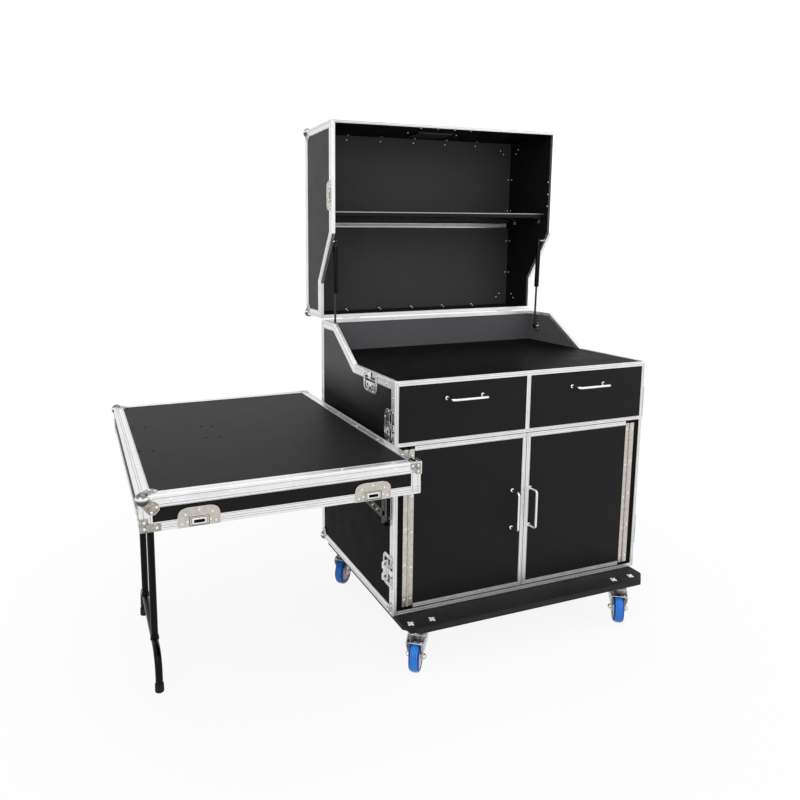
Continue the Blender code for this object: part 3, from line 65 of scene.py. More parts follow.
# The cover that hangs beside the cabinet as a table
TABLE_LEFT, TABLE_RIGHT = -0.768, -0.018
TABLE_NEAR, TABLE_FAR = -0.199, 0.761
TABLE_RIM, TABLE_TOP = 0.6245, 0.7145
COVER_LEG, COVER_RIM_LEG = 0.030, 0.024

# Castors: swivel axis, and how far the fork is turned, in degrees
CASTORS = {
    "front_left": (0.072, -0.037, 52),
    "front_right": (0.858, -0.037, 52),
    "rear_left": (0.072, 0.540, 44),
    "rear_right": (0.858, 0.540, 58),
}
TRAIL, WHEEL_R = 0.041, 0.050
BOARD_LOW, BOARD_TOP = 0.128, 0.146

# Latches: how far each is from its edge; the swing brackets' places; the sheet of a latch's pan
LATCH_DROP, LATCH_RISE, COUNTER_Y = 0.144, 0.141, 0.175
BRACKETS = {"front": 0.037, "rear": DEPTH - 0.042}
PAN_SHEET = 0.0006

# Domed heads of rivets and screws, as radius and height
HEADS = {
    "angle": (0.0038, 0.0013),
    "plate": (0.0034, 0.0013),
    "bracket": (0.0038, 0.0014),
    "latch": (0.0036, 0.0015),
    "keeper": (0.0032, 0.0015),
    "door_hinge": (0.0036, 0.0011),
    "lid_hinge": (0.0035, 0.0012),
    "clip": (0.0032, 0.0011),
    "strut": (0.0030, 0.0011),
    "tail": (0.0040, 0.0026),
    "table": (0.0050, 0.0006),
    "brace": (0.0022, 0.0009),
    "seat": (0.0024, 0.0010),
}

# Both signs, and the cabinet's two sides as the x of the face and the sign that leads inwards
BOTH = (-1, 1)
ENDS = ((0, 1), (WIDTH, -1))
SIDES = (("left", *ENDS[0]), ("right", *ENDS[1]))

# Quarter turns, a half turn, and the turns for both ends of an axle
QUARTER_X, QUARTER_Y = (Matrix.Rotation(math.radians(90), 4, axis) for axis in "XY")
OVER = Matrix.Rotation(math.pi, 4, "X")
FLIPS = (OVER, Matrix.Identity(4))
move = Matrix.Translation

low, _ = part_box("case_edging")
ORIGIN = Vector((low.x, low.y, 0))


# Materials
def node_tree(name, shine=None):
    """A new material, its node tree and its shader."""
    material = bpy.data.materials.new(name)
    material.use_nodes = True
    tree = material.node_tree
    shader = tree.nodes["Principled BSDF"]
    if shine is not None:
        shader.inputs["Specular IOR Level"].default_value = shine
    return material, tree, shader


def fill(tree, node, **inputs):
    """Sets inputs, or links them to other nodes' outputs; an underscore in a key stands for a space."""
    for key, value in inputs.items():
        socket_in = node.inputs[key.replace("_", " ")]
        if isinstance(value, bpy.types.NodeSocket):
            tree.links.new(value, socket_in)
        else:
            socket_in.default_value = value
    return node


def add(tree, kind, **inputs):
    return fill(tree, tree.nodes.new("ShaderNode" + kind), **inputs)


def coordinate(tree, output="Object"):
    return add(tree, "TexCoord").outputs[output]


def noise(tree, scale, detail, rough=0.5):
    fields = {"Vector": coordinate(tree), "Scale": scale, "Detail": detail, "Roughness": rough}
    return add(tree, "TexNoise", **fields).outputs["Fac"]


def ramp(tree, source, stops):
    node = add(tree, "ValToRGB", Fac=source)
    elements = node.color_ramp.elements
    while len(elements) < len(stops):
        elements.new(0.5)
    for element, (place, colour) in zip(elements, stops):
        element.position = place
        element.color = (*colour, 1)
    return node.outputs["Color"]


def spread(tree, source, low_value, high_value, start=0.3, end=0.7):
    """The source between start and end, carried over to between the two values."""
    ranges = {"From_Min": start, "From_Max": end, "To_Min": low_value, "To_Max": high_value}
    return add(tree, "MapRange", Value=source, **ranges).outputs["Result"]


def combined(tree, first, second, operation="MULTIPLY"):
    node = add(tree, "Math")
    node.operation = operation
    tree.links.new(first, node.inputs[0])
    tree.links.new(second, node.inputs[1])
    return node.outputs[0]


def split(tree, output):
    """The X, Y and Z of the object's own Normal or Object coordinate."""
    return add(tree, "SeparateXYZ", Vector=coordinate(tree, output)).outputs


def surface(tree, shader, colour, rough, grain, strength, depth):
    """Colour and roughness, with a fine grain in relief."""
    relief = add(tree, "Bump", Strength=strength, Distance=depth, Height=grain)
    fill(tree, shader, Base_Color=colour, Roughness=rough, Normal=relief.outputs["Normal"])


def laminate(name, dark, light, rough, grain=900, depth=0.00012, shine=0.2, wear=0.05):
    """Black laminate: a fine pebbled grain, faint cloudiness and a little handling wear."""
    material, tree, shader = node_tree(name, shine)
    colour = ramp(tree, noise(tree, 3.2, 5, 0.65), [(0.25, dark), (0.8, light)])
    worn = spread(tree, noise(tree, 14, 6, 0.7), rough - wear, rough + wear)
    surface(tree, shader, colour, worn, noise(tree, grain, 2), 0.35, depth)
    return material


def metal(name, dark, light, rough, scale, metallic, grain, strength):
    """Metal with cloudy tone, uneven polish and a fine drawn or cast grain."""
    material, tree, shader = node_tree(name)
    shader.inputs["Metallic"].default_value = metallic
    colour = ramp(tree, noise(tree, scale, 4), [(0.3, dark), (0.7, light)])
    uneven = spread(tree, noise(tree, scale * 2.5, 5), rough - 0.05, rough + 0.07)
    surface(tree, shader, colour, uneven, noise(tree, grain, 2), strength, 0.00006)
    return material


def plastic(name, colour, rough, scale, grain, strength, shift, shine=0.5):
    """Plastic, rubber or enamel: slightly uneven in tone and gloss, with a moulded grain."""
    material, tree, shader = node_tree(name, shine)
    darker, lighter = ([min(1, c * share) for c in colour] for share in (1 - shift, 1 + shift))
    cloud = ramp(tree, noise(tree, scale, 4), [(0.3, darker), (0.7, lighter)])
    uneven = spread(tree, noise(tree, scale * 3, 4), rough - 0.06, rough + 0.06)
    surface(tree, shader, cloud, uneven, noise(tree, grain, 3), strength, 0.0001)
    return material


def towards(tree, facing, axis):
    """1 on a face that looks along minus the axis, 0 on one that looks across it or away."""
    return spread(tree, facing[axis], 1.0, 0.0, -1.0, -0.2)


def lit_splash(tree, facing, spot):
    """Painted light: the lit tone goes on the front of the back panel above the worktop."""
    above = spread(tree, spot["Z"], 0.0, 1.0, RIM_Z - 0.010, RIM_Z - 0.008)
    return combined(tree, towards(tree, facing, "Y"), above)


def lit_hutch(tree, facing, spot):
    """Painted light: what faces the front inside the lid, and the lid's outer left side, take the lit tone."""
    left = spread(tree, spot["X"], 1.0, 0.0, ORIGIN.x + 0.1, ORIGIN.x + 0.8)
    side = combined(tree, towards(tree, facing, "X"), left)
    return combined(tree, towards(tree, facing, "Y"), side, "ADD")


def lit_side(tree, facing, spot):
    """The upper rear of the cabinet's outer left side, where the photo shows a soft sheen."""
    high = spread(tree, spot["Z"], 0.0, 1.0, RIM_Z - 0.150, RIM_Z - 0.025)
    rear = spread(tree, spot["Y"], 0.25, 1.0, ORIGIN.y + 0.05, ORIGIN.y + 0.34)
    return combined(tree, combined(tree, towards(tree, facing, "X"), high), rear)


def faced_laminate(name, deep, light, shine, lit):
    """Black laminate, paler where lit, one of the functions above, says so."""
    material, tree, shader = node_tree(name, shine)
    share = lit(tree, split(tree, "Normal"), split(tree, "Object"))
    tone = ramp(tree, share, [(0.0, deep), (1.0, light)])
    cloud = ramp(tree, noise(tree, 3.2, 5, 0.65), [(0.25, (0.84,) * 3), (0.8, (1.0,) * 3)])
    mix = add(tree, "Mix")
    mix.data_type, mix.blend_type = "RGBA", "MULTIPLY"
    factor, first, second, mixed_tone = mix.inputs[0], mix.inputs[6], mix.inputs[7], mix.outputs[2]
    factor.default_value = 1.0
    tree.links.new(tone, first)
    tree.links.new(cloud, second)
    worn = spread(tree, noise(tree, 14, 6, 0.7), 0.50, 0.60)
    surface(tree, shader, mixed_tone, worn, noise(tree, 900, 2), 0.35, 0.00012)
    return material


def chrome_ball(name):
    """Polished chrome with a painted reflection: painted shade where it looks down, and one painted bright
    band above the middle.
    """
    material, tree, shader = node_tree(name)
    shader.inputs["Metallic"].default_value = 1.0
    upward = spread(tree, split(tree, "Normal")["Z"], 0.0, 1.0, -1.0, 1.0)
    tones = [(0.0, 0.03), (0.44, 0.09), (0.53, 0.30), (0.58, 0.85), (0.66, 0.85)]
    tones += [(0.73, 0.32), (0.86, 0.14), (1.0, 0.22)]
    colour = ramp(tree, upward, [(stop, (tone,) * 3) for stop, tone in tones])
    uneven = spread(tree, noise(tree, 300, 4), 0.06, 0.14)
    surface(tree, shader, colour, uneven, noise(tree, 900, 2), 0.03, 0.00006)
    return material


# Each look's material name, dark tone, light tone, roughness, grain, grain depth, gloss and wear
LAMINATES = {
    "laminate": (
        "laminate_black", (0.0066, 0.0066, 0.0067), (0.0096, 0.0096, 0.0098), 0.50, 900, 0.00012, 0.12,
    ),
    "worktop": (
        "laminate_worktop", (0.0030, 0.0030, 0.0031), (0.0050, 0.0050, 0.0051), 0.40, 1300, 0.00005, 0.01,
    ),
    "board": ("board_paint", (0.0080, 0.0080, 0.0080), (0.0180, 0.0180, 0.0182), 0.60, 260, 0.00035),
    "drawer": ("drawer_board", (0.0260, 0.0235, 0.0210), (0.0420, 0.0390, 0.0350), 0.58, 420, 0.0002),
    "tabletop": (
        "laminate_tabletop", (0.0076, 0.0076, 0.0077), (0.0088, 0.0088, 0.0090), 0.52, 900, 0.00012, 0.10,
        0.015,
    ),
}
# Each look's material name, unlit tone, lit tone, gloss and where it is lit
# Here the lit tone is painted light and the unlit tone is painted shade, on one black laminate.
FACED = {
    "side": ("laminate_side", (0.0072, 0.0066, 0.0060), (0.1350, 0.1350, 0.1320), 0.03, lit_side),
    "hutch": ("laminate_charcoal", (0.0085, 0.0085, 0.0090), (0.0590, 0.0590, 0.0620), 0.12, lit_hutch),
    "splash": ("laminate_slate", (0.0085, 0.0085, 0.0088), (0.1180, 0.1160, 0.1250), 0.10, lit_splash),
}
# Each look's material name, dark tone, light tone, roughness, cloud scale, metallic, grain and its strength
METALS = {
    "edging": ("aluminium_extrusion", (0.78, 0.78, 0.79), (0.86, 0.86, 0.87), 0.36, 22, 0.9, 1800, 0.10),
    # groove: painted shade in the edging's grooves; the shelf's front trim takes the same darker aluminium.
    "groove": ("aluminium_groove", (0.34, 0.34, 0.345), (0.42, 0.42, 0.425), 0.45, 60, 0.7, 900, 0.10),
    "rivet": ("aluminium_rivet", (0.80, 0.80, 0.81), (0.90, 0.90, 0.90), 0.24, 300, 1.0, 2600, 0.05),
    "zinc": ("zinc_plate", (0.46, 0.455, 0.445), (0.66, 0.655, 0.64), 0.30, 130, 1.0, 1200, 0.10),
    "latch": ("latch_plate", (0.34, 0.34, 0.34), (0.78, 0.775, 0.77), 0.24, 230, 0.9, 1200, 0.10),
    # pierced: on the swing brackets this dark tone is painted shade, as they hang in the table's shadow; the
    # handle dish takes the same dark tone.
    "pierced": ("pierced_steel", (0.050, 0.047, 0.045), (0.15, 0.145, 0.14), 0.32, 160, 0.9, 900, 0.10),
    "nickel": ("nickel_plate", (0.50, 0.465, 0.415), (0.62, 0.59, 0.54), 0.34, 90, 1.0, 1500, 0.12),
    "aged_nickel": ("aged_nickel", (0.20, 0.185, 0.155), (0.50, 0.475, 0.425), 0.24, 150, 1.0, 1500, 0.12),
    "polished": ("polished_zinc", (0.34, 0.345, 0.355), (0.62, 0.63, 0.65), 0.20, 110, 1.0, 900, 0.06),
    "bright": ("bright_bar", (0.78, 0.775, 0.76), (0.88, 0.875, 0.86), 0.20, 80, 1.0, 2200, 0.05),
    "white_zinc": ("white_zinc", (0.93, 0.93, 0.93), (0.98, 0.98, 0.98), 0.34, 90, 0.25, 1500, 0.08),
    "dark_steel": ("dark_rod", (0.030, 0.030, 0.032), (0.055, 0.055, 0.06), 0.28, 80, 0.7, 1500, 0.05),
}
# Each look's material name, tone, roughness, cloud scale, grain, its strength, shift of tone and gloss
PLASTICS = {
    "enamel": ("black_enamel", (0.0025, 0.0025, 0.0027), 0.20, 30, 260, 0.06, 0.15, 0.10),
    # slot: black for the table's screw spots, and painted shade in the latch pans and the keepers' grooves.
    "slot": ("shadow_black", (0.003, 0.003, 0.003), 0.75, 60, 600, 0.2, 0.15, 0.05),
    "rubber": ("black_rubber", (0.010, 0.010, 0.010), 0.72, 50, 700, 0.3, 0.15, 0.2),
    "tyre": ("blue_tyre", (0.020, 0.225, 0.760), 0.26, 26, 420, 0.12, 0.14, 0.35),
    "shoulder": ("blue_shoulder", (0.002, 0.045, 0.270), 0.34, 26, 420, 0.12, 0.20, 0.25),
    "nylon": ("white_hub", (0.80, 0.81, 0.82), 0.42, 60, 500, 0.15, 0.06),
    "diffuser": ("milky_strip", (0.70, 0.70, 0.71), 0.35, 40, 400, 0.1, 0.08),
}
LOOK = {"chrome": chrome_ball("chrome_painted_reflection")}
for make, table in ((laminate, LAMINATES), (faced_laminate, FACED), (metal, METALS), (plastic, PLASTICS)):
    for look_name, values in table.items():
        LOOK[look_name] = make(*values)


# Mesh building
def at(x, y, z):
    """A point in the cabinet's own measures."""
    return ORIGIN + Vector((x, y, z))


def meshes(count):
    return [bmesh.new() for _ in range(count)]


def axes(first, second, third):
    """The turn that lays X, Y and Z on three directions."""
    return Matrix((first, second, third)).transposed().to_4x4()


def frame_at(place, away, out):
    """A frame with Y on away and Z on out."""
    return move(place) @ axes(away.cross(out), away, out)


def between(first, last, count):
    return [first + (last - first) * i / (count - 1) for i in range(count)]


def steps(count, start=0.0, turn=math.tau):
    return [start + turn * i / count for i in range(count)]


def round_hole(x, y, radius, sides=14):
    return [(x + radius * math.cos(a), y + radius * math.sin(a)) for a in steps(sides)]


def rectangle(x0, y0, x1, y1, radius, count=4):
    return rounded_outline([(x0, y0), (x1, y0), (x1, y1), (x0, y1)], radius, count)


def mirrored(profile):
    """The (radius, height) profile backwards, on the other side of height zero."""
    return [(r, -h) for r, h in reversed(profile)]


def shrunk(outline, distance):
    """The outline, anticlockwise, moved inwards."""
    found = []
    count = len(outline)
    for i in range(count):
        before, here, after = (Vector(outline[j % count]) for j in (i - 1, i, i + 1))
        u, v = (here - before).normalized(), (after - here).normalized()
        normal = Vector((-u.y - v.y, u.x + v.x))
        scale = max(0.35, 1 + u.dot(v))
        found.append(tuple(here + normal * distance / scale))
    return found


def rounded_outline(points, radius, count=5):
    """The outline with every corner rounded; radius may be one number or one for each point."""
    total = len(points)
    radii = radius if isinstance(radius, (list, tuple)) else [radius] * total
    found = []
    for i, r in enumerate(radii):
        before, here, after = (Vector(points[j % total]) for j in (i - 1, i, i + 1))
        if r == 0:
            found.append(tuple(here))
            continue
        u, v = (before - here).normalized(), (after - here).normalized()
        reach = r / math.tan(u.angle(v) / 2)
        start, end = here + u * reach, here + v * reach
        for t in between(0, 1, count + 1):
            found.append(tuple(start.lerp(here, t).lerp(here.lerp(end, t), t)))
    return found


def bent(corners, radius, count=8):
    """The corners joined by straight runs and arcs of the radius."""
    points = [Vector(corners[0])]
    for before, here, after in zip(corners, corners[1:], corners[2:]):
        here = Vector(here)
        back, on = (Vector(before) - here).normalized(), (Vector(after) - here).normalized()
        half = back.angle(on) / 2
        reach = radius / math.tan(half)
        middle = here + (back + on).normalized() * radius / math.sin(half)
        start = (here + back * reach - middle).normalized()
        end = (here + on * reach - middle).normalized()
        side = (end - start * start.dot(end)).normalized()
        for a in between(0, start.angle(end), count + 1):
            points.append(middle + (start * math.cos(a) + side * math.sin(a)) * radius)
    points.append(Vector(corners[-1]))
    return points


def ring_of(bm, outline, z):
    return [bm.verts.new((u, v, z)) for u, v in outline]


def bridge(bm, *loops):
    """Faces between each loop of vertices and the next."""
    for lower, upper in zip(loops, loops[1:]):
        for i in range(len(lower)):
            bm.faces.new((lower[i - 1], lower[i], upper[i], upper[i - 1]))


def solid(bm, loops):
    """The loops of vertices joined, and closed at both ends."""
    bridge(bm, *loops)
    bm.faces.new(loops[0][::-1])
    bm.faces.new(loops[-1])


def circle(side, other, radius, sides):
    return [(side * math.cos(a) + other * math.sin(a)) * radius for a in steps(sides)]


def add_box(bm, one, other, bevel=0.0, matrix=None, segments=2):
    """A box between two opposite corners, its edges rounded where bevel is given."""
    made = bmesh.ops.create_cube(bm, size=1.0)["verts"]
    a, b = Vector(one), Vector(other)
    centre, size = (a + b) / 2, Vector([abs(v) for v in b - a])
    for vert in made:
        vert.co = vert.co * size + centre
    if bevel:
        edges = list({edge for vert in made for edge in vert.link_edges})
        before = set(bm.verts)
        result = bmesh.ops.bevel(
            bm, geom=edges, offset=bevel, segments=segments, profile=0.5, affect="EDGES")
        made = list({v for f in result["faces"] for v in f.verts} | {v for v in bm.verts if v not in before})
    if matrix:
        bmesh.ops.transform(bm, matrix=matrix, verts=made)


def add_plate(bm, outline, low_z, high_z, matrix, bevel=0.0, holes=()):
    """A flat plate with its upper edge rounded; a hole is (outline, floor), a through hole's floor is None.

    A floor below the plate makes a pan, whose sheet hangs under the plate.
    """
    made = [ring_of(bm, outline, low_z), ring_of(bm, outline, high_z - bevel)]
    if bevel:
        made.append(ring_of(bm, shrunk(outline, bevel), high_z))
    bridge(bm, *made)
    top, bottom = [made[-1]], [made[0]]
    for hole, floor in holes:
        mouth = ring_of(bm, hole, high_z)
        deep = ring_of(bm, hole, low_z if floor is None else floor)
        bridge(bm, mouth, deep)
        made += [mouth, deep]
        top.append(mouth)
        if floor is None:
            bottom.append(deep)
            continue
        around = shrunk(hole, -PAN_SHEET)
        neck, under = ring_of(bm, around, low_z), ring_of(bm, around, floor - PAN_SHEET)
        bridge(bm, neck, under)
        bm.faces.new(deep)
        bm.faces.new(under)
        made += [neck, under]
        bottom.append(neck)
    for group in (top, bottom):
        if len(group) == 1:
            bm.faces.new(group[0])
            continue
        edges = [bm.edges.get((ring[i - 1], ring[i])) for ring in group for i in range(len(ring))]
        bmesh.ops.triangle_fill(bm, edges=edges, use_beauty=True)
    bmesh.ops.transform(bm, matrix=matrix, verts=[v for ring in made for v in ring])


def add_dome(bm, centre, normal, radius, height, sides=14, rings=3):
    """A rivet's or a screw's low domed head, its foot let into the face below."""
    sunk = 0.0006
    normal = Vector(normal).normalized()
    side = normal.orthogonal().normalized()
    loops = []
    for t in steps(rings, 0, math.pi / 2):
        middle = centre + normal * height * math.sin(t)
        offsets = circle(side, normal.cross(side), radius * math.cos(t), sides)
        loops.append([bm.verts.new(middle + offset) for offset in offsets])
    foot = [bm.verts.new(v.co - normal * sunk) for v in loops[0]]
    bridge(bm, foot, *loops)
    tip = bm.verts.new(centre + normal * height)
    for i in range(sides):
        bm.faces.new((loops[-1][i - 1], loops[-1][i], tip))
    bm.faces.new(foot[::-1])


def add_heads(bm, place, spots, radius, height, sides=14):
    """Domed heads at the spots of a frame, looking along its Z."""
    for spot in spots:
        add_dome(bm, place @ Vector(spot), place.to_3x3() @ Z, radius, height, sides)


def add_turned(bm, profile, place, count):
    """The (radius, height) profile turned about the matrix's Z."""
    loops = []
    for a in steps(count):
        points = [place @ Vector((r * math.cos(a), r * math.sin(a), h)) for r, h in profile]
        loops.append([bm.verts.new(p) for p in points])
    for here, there in zip(loops, loops[1:] + loops[:1]):
        for i in range(len(profile) - 1):
            bm.faces.new((here[i], there[i], there[i + 1], here[i + 1]))
    bmesh.ops.remove_doubles(bm, verts=[v for loop in loops for v in loop], dist=0.000005)


def rim_of(grid):
    return grid[0][:-1] + [row[-1] for row in grid[:-1]] + grid[-1][:0:-1] + [row[0] for row in grid[:0:-1]]


def add_sheet(bm, outer, inner):
    """A closed sheet between two grids of points."""
    grids = [[[bm.verts.new(p) for p in row] for row in grid] for grid in (outer, inner)]
    for grid in grids:
        for row, following in zip(grid, grid[1:]):
            for k in range(len(row) - 1):
                bm.faces.new((row[k], row[k + 1], following[k + 1], following[k]))
    bridge(bm, *(rim_of(grid) for grid in grids))


def add_tube(bm, points, radius, sides=16):
    """A round bar along the points, its section kept square to the path and widened where it bends."""
    points = [Vector(p) for p in points]
    last = len(points) - 1
    side = (points[1] - points[0]).orthogonal().normalized()
    loops = []
    for i, point in enumerate(points):
        back, on = points[max(0, i - 1)], points[min(last, i + 1)]
        tangent = (on - back).normalized()
        if i:
            side = (side - tangent * side.dot(tangent)).normalized()
        offsets = circle(side, tangent.cross(side), radius, sides)
        if 0 < i < last:
            before, after = (point - back).normalized(), (on - point).normalized()
            widen = 1 / max(0.5, math.cos(before.angle(after, 0) / 2))
            bend = tangent - before
            if widen > 1.001 and bend.length > 1e-6:
                bend.normalize()
                offsets = [offset + bend * offset.dot(bend) * (widen - 1) for offset in offsets]
        loops.append([bm.verts.new(point + offset) for offset in offsets])
    solid(bm, loops)


def add_hoop(bm, foot, other_foot, out, bend, radius, sides=18, count=8):
    """A bent bar that stands out from one foot and comes back to the other."""
    first, last = Vector(foot), Vector(other_foot)
    add_tube(bm, bent([first, first + out, last + out, last], bend, count), radius, sides)


def copy_into(bm, part):
    mesh = bpy.data.meshes.new("part")
    part.to_mesh(mesh)
    part.free()
    bm.from_mesh(mesh)
    bpy.data.meshes.remove(mesh)


def piece(name, bm, look, body, smooth=35, replaces=()):
    """The finished mesh as a piece that rides on a body; bm and look may be lists, one mesh for each look."""
    looks = look if isinstance(look, list) else [look]
    parts = bm if isinstance(bm, list) else [bm]
    whole = bmesh.new()
    for index, part in enumerate(parts):
        bmesh.ops.recalc_face_normals(part, faces=part.faces[:])
        for face in part.faces:
            face.material_index = index
        copy_into(whole, part)
    mesh = bpy.data.meshes.new(name)
    whole.to_mesh(mesh)
    whole.free()
    for one in looks:
        mesh.materials.append(LOOK[one])
    mesh.shade_smooth()
    mesh.set_sharp_from_angle(angle=math.radians(smooth))
    made = bpy.data.objects.new(name, mesh)
    bpy.context.scene.collection.objects.link(made)
    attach(made, body)
    if replaces:
        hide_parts(*replaces)


# Carried-over CAD nodes
def both(kind):
    return [f"{kind}_{side}" for side, _, _ in SIDES]


def paint_nodes():
    """The CAD nodes that show as they are keep their shape and take a finish."""
    painted = {
        "edging": ["case_edging", "lid_edging", "cover_edging", "lid_light_bar"] + both("door_trim"),
        "side": both("case_side"),
        "splash": ["case_back"],
        "laminate": ["case_floor", "drawer_deck", "drawer_divider", "lid_shelf"]
        + both("door_panel") + both("drawer_front"),
        "drawer": both("drawer_box"),
        "worktop": ["worktop"],
        "hutch": ["lid_shell"],
        "pierced": ["lid_handle_dish"],
        "tabletop": ["cover_shell"],
    }
    for look, nodes in painted.items():
        for node in nodes:
            materials = NODES[node].data.materials
            materials.clear()
            materials.append(LOOK[look])


# Bars, legs and castors
def build_pulls():
    """Round bar pulls with a small washer at each foot."""
    radius, bend = 0.004, 0.010
    washer = [(0.0001, 0.0012), (0.0058, 0.0012), (0.0064, 0.0006), (0.0064, 0)]
    for kind, along in (("drawer", X), ("door", Z)):
        for side, _, _ in SIDES:
            node = f"{kind}_pull_{side}"
            a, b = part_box(node)
            reach = along * ((b - a).dot(along) / 2 - radius)
            middle = Vector(((a.x + b.x) / 2, b.y, (a.z + b.z) / 2))
            bm = bmesh.new()
            add_hoop(bm, middle - reach, middle + reach, Y * (a.y + radius - b.y), bend, radius)
            for foot in (middle - reach, middle + reach):
                add_turned(bm, washer, move(foot + Y * 0.0001) @ QUARTER_X, 20)
            piece(node + "_bar", bm, "bright", f"{kind}_{side}", 40, [node])


def build_table_leg():
    """Two gloss black uprights on a bent hoop, with a pivot pin in knuckles, weld collars and rubber feet."""
    a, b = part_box("table_leg")
    radius, pin_radius = 0.011, 0.008
    x, left, right = (a.x + b.x) / 2, a.y + radius, b.y - radius
    centre = Vector((x, (left + right) / 2, 0))
    foot, crossbar, half_span, bend = 0.004, 0.112, 0.135, 0.056
    pivot = TABLE_TOP - 0.0495
    knuckle, knuckle_low, knuckle_top = Vector((0.0125, 0.0125, 0)), pivot - 0.022, pivot + 0.010
    pin = Y * (half_span + radius + 0.013)
    tubes, feet = meshes(2)
    add_hoop(tubes, (x, left, foot), (x, right, foot), Z * (crossbar - foot), bend, radius, 24, 12)
    collar = [(0.0001, 0.020), (0.0016, 0.015), (0.0024, 0.009), (0.0030, 0.004)]
    collar = [(radius + grow, z) for grow, z in collar]
    for upright in (centre - Y * half_span, centre + Y * half_span):
        add_tube(tubes, [upright + Z * (crossbar + 0.006), upright + Z * (pivot + 0.004)], radius, 24)
        add_turned(tubes, collar, move(upright + Z * crossbar), 24)
        add_box(tubes, upright - knuckle + Z * knuckle_low, upright + knuckle + Z * knuckle_top, 0.002)
    add_tube(tubes, [centre - pin + Z * pivot, centre + pin + Z * pivot], pin_radius, 20)
    piece("table_leg_tubes", tubes, "enamel", "leg", 40, ["table_leg"])
    shoe = [(0.0001, 0.0), (0.0112, 0.0), (0.0132, 0.0012), (0.0136, 0.004)]
    shoe += [(0.0132, 0.024), (0.0122, 0.0262), (0.0111, 0.0262)]
    for y in (left, right):
        add_turned(feet, shoe, move((x, y, 0.0)), 24)
    piece("table_leg_feet", feet, "rubber", "leg", 40)


def build_wheels():
    """Blue crowned tyres with a ribbed tread on pale ribbed hubs, with a steel bearing."""
    half = 0.017
    side = [(0.0368, half - 0.0040), (0.0374, half - 0.0016), (0.0395, half - 0.0008)]
    side += [(0.0432, half - 0.0009), (0.0456, half - 0.0026), (0.0474, half - 0.0058)]
    rib = [(0.0002, 0.0017), (0, 0.0009), (0, 0), (0, -0.0009), (0.0002, -0.0017), (0.0007, -0.00215)]
    tread = [side[-1]]
    for middle in (0.0086, 0.0043, 0.0):
        crown = 0.0499 - 14 * middle ** 2
        tread += [(crown - fall, middle + rise) for fall, rise in rib if middle + rise > 0]
    tread += mirrored(tread)
    face = [(0.0145, half - 0.0020), (0.0158, half - 0.0024), (0.0170, half - 0.0062)]
    face += [(0.0320, half - 0.0072), (0.0340, half - 0.0040), (0.0368, half - 0.0028)]
    web = face + mirrored(face) + face[:1]
    bearing = [(0.0050, 0.0030), (0.0052, 0.0006), (0.0080, 0.0002), (0.0084, 0.0012)]
    bearing += [(0.0118, 0.0012), (0.0122, 0.0004), (0.0142, 0.0006), (0.0145, 0.0030)]
    bearing = [(r, half - inset) for r, inset in bearing]
    spoke = ((0.0165, -0.0011, half - 0.0074), (0.0335, 0.0011, half - 0.0042))
    for name, (x, y, degrees) in CASTORS.items():
        body = "wheel_" + name
        turn = Matrix.Rotation(math.radians(degrees), 4, "Z")
        place = move(at(x, y, WHEEL_R) + turn @ Vector((-TRAIL, 0, 0))) @ turn @ QUARTER_X
        treads, shoulders, hub, bearings = meshes(4)
        add_turned(treads, tread, place, 64)
        add_turned(shoulders, mirrored(side) + side, place, 64)
        parts, looks, nodes = [treads, shoulders], ["tyre", "shoulder"], ["castor_wheel_" + name]
        piece("wheel_tyre_" + name, parts, looks, body, 50, nodes)
        add_turned(hub, web, place, 48)
        for flip in FLIPS:
            add_turned(bearings, bearing, place @ flip, 32)
            for a in steps(6, 0.3):
                add_box(hub, *spoke, 0.0005, place @ Matrix.Rotation(a, 4, "Z") @ flip)
        piece("wheel_hub_" + name, hub, "nylon", body, 40)
        piece("wheel_bearing_" + name, bearings, "zinc", body, 40)


# A castor fork's arm at each height: its rear and front edges along the trail, and its reach to the side
FORK_LEVELS = [
    (0.1078, -0.052, 0.026, 0.0272),
    (0.1040, -0.062, 0.030, 0.0296),
    (0.0960, -0.066, 0.027, 0.0306),
    (0.0860, -0.065, 0.015, 0.0300),
    (0.0740, -0.062, 0.000, 0.0276),
    (0.0620, -0.058, -0.016, 0.0244),
    (0.0540, -0.056, -0.026, 0.0230),
    (0.0440, -0.053, -0.030, 0.0228),
    (0.0385, -0.047, -0.035, 0.0228),
]
RACE_BELL = [(0.0001, 0.1182), (0.0270, 0.1182), (0.0286, 0.1170), (0.0288, 0.1140), (0.0262, 0.1122)]
RACE_BELL += [(0.0262, 0.1096), (0.0284, 0.1084), (0.0290, 0.1062), (0.0001, 0.1050)]


def hexagon(radius):
    return round_hole(0, 0, radius, 6)


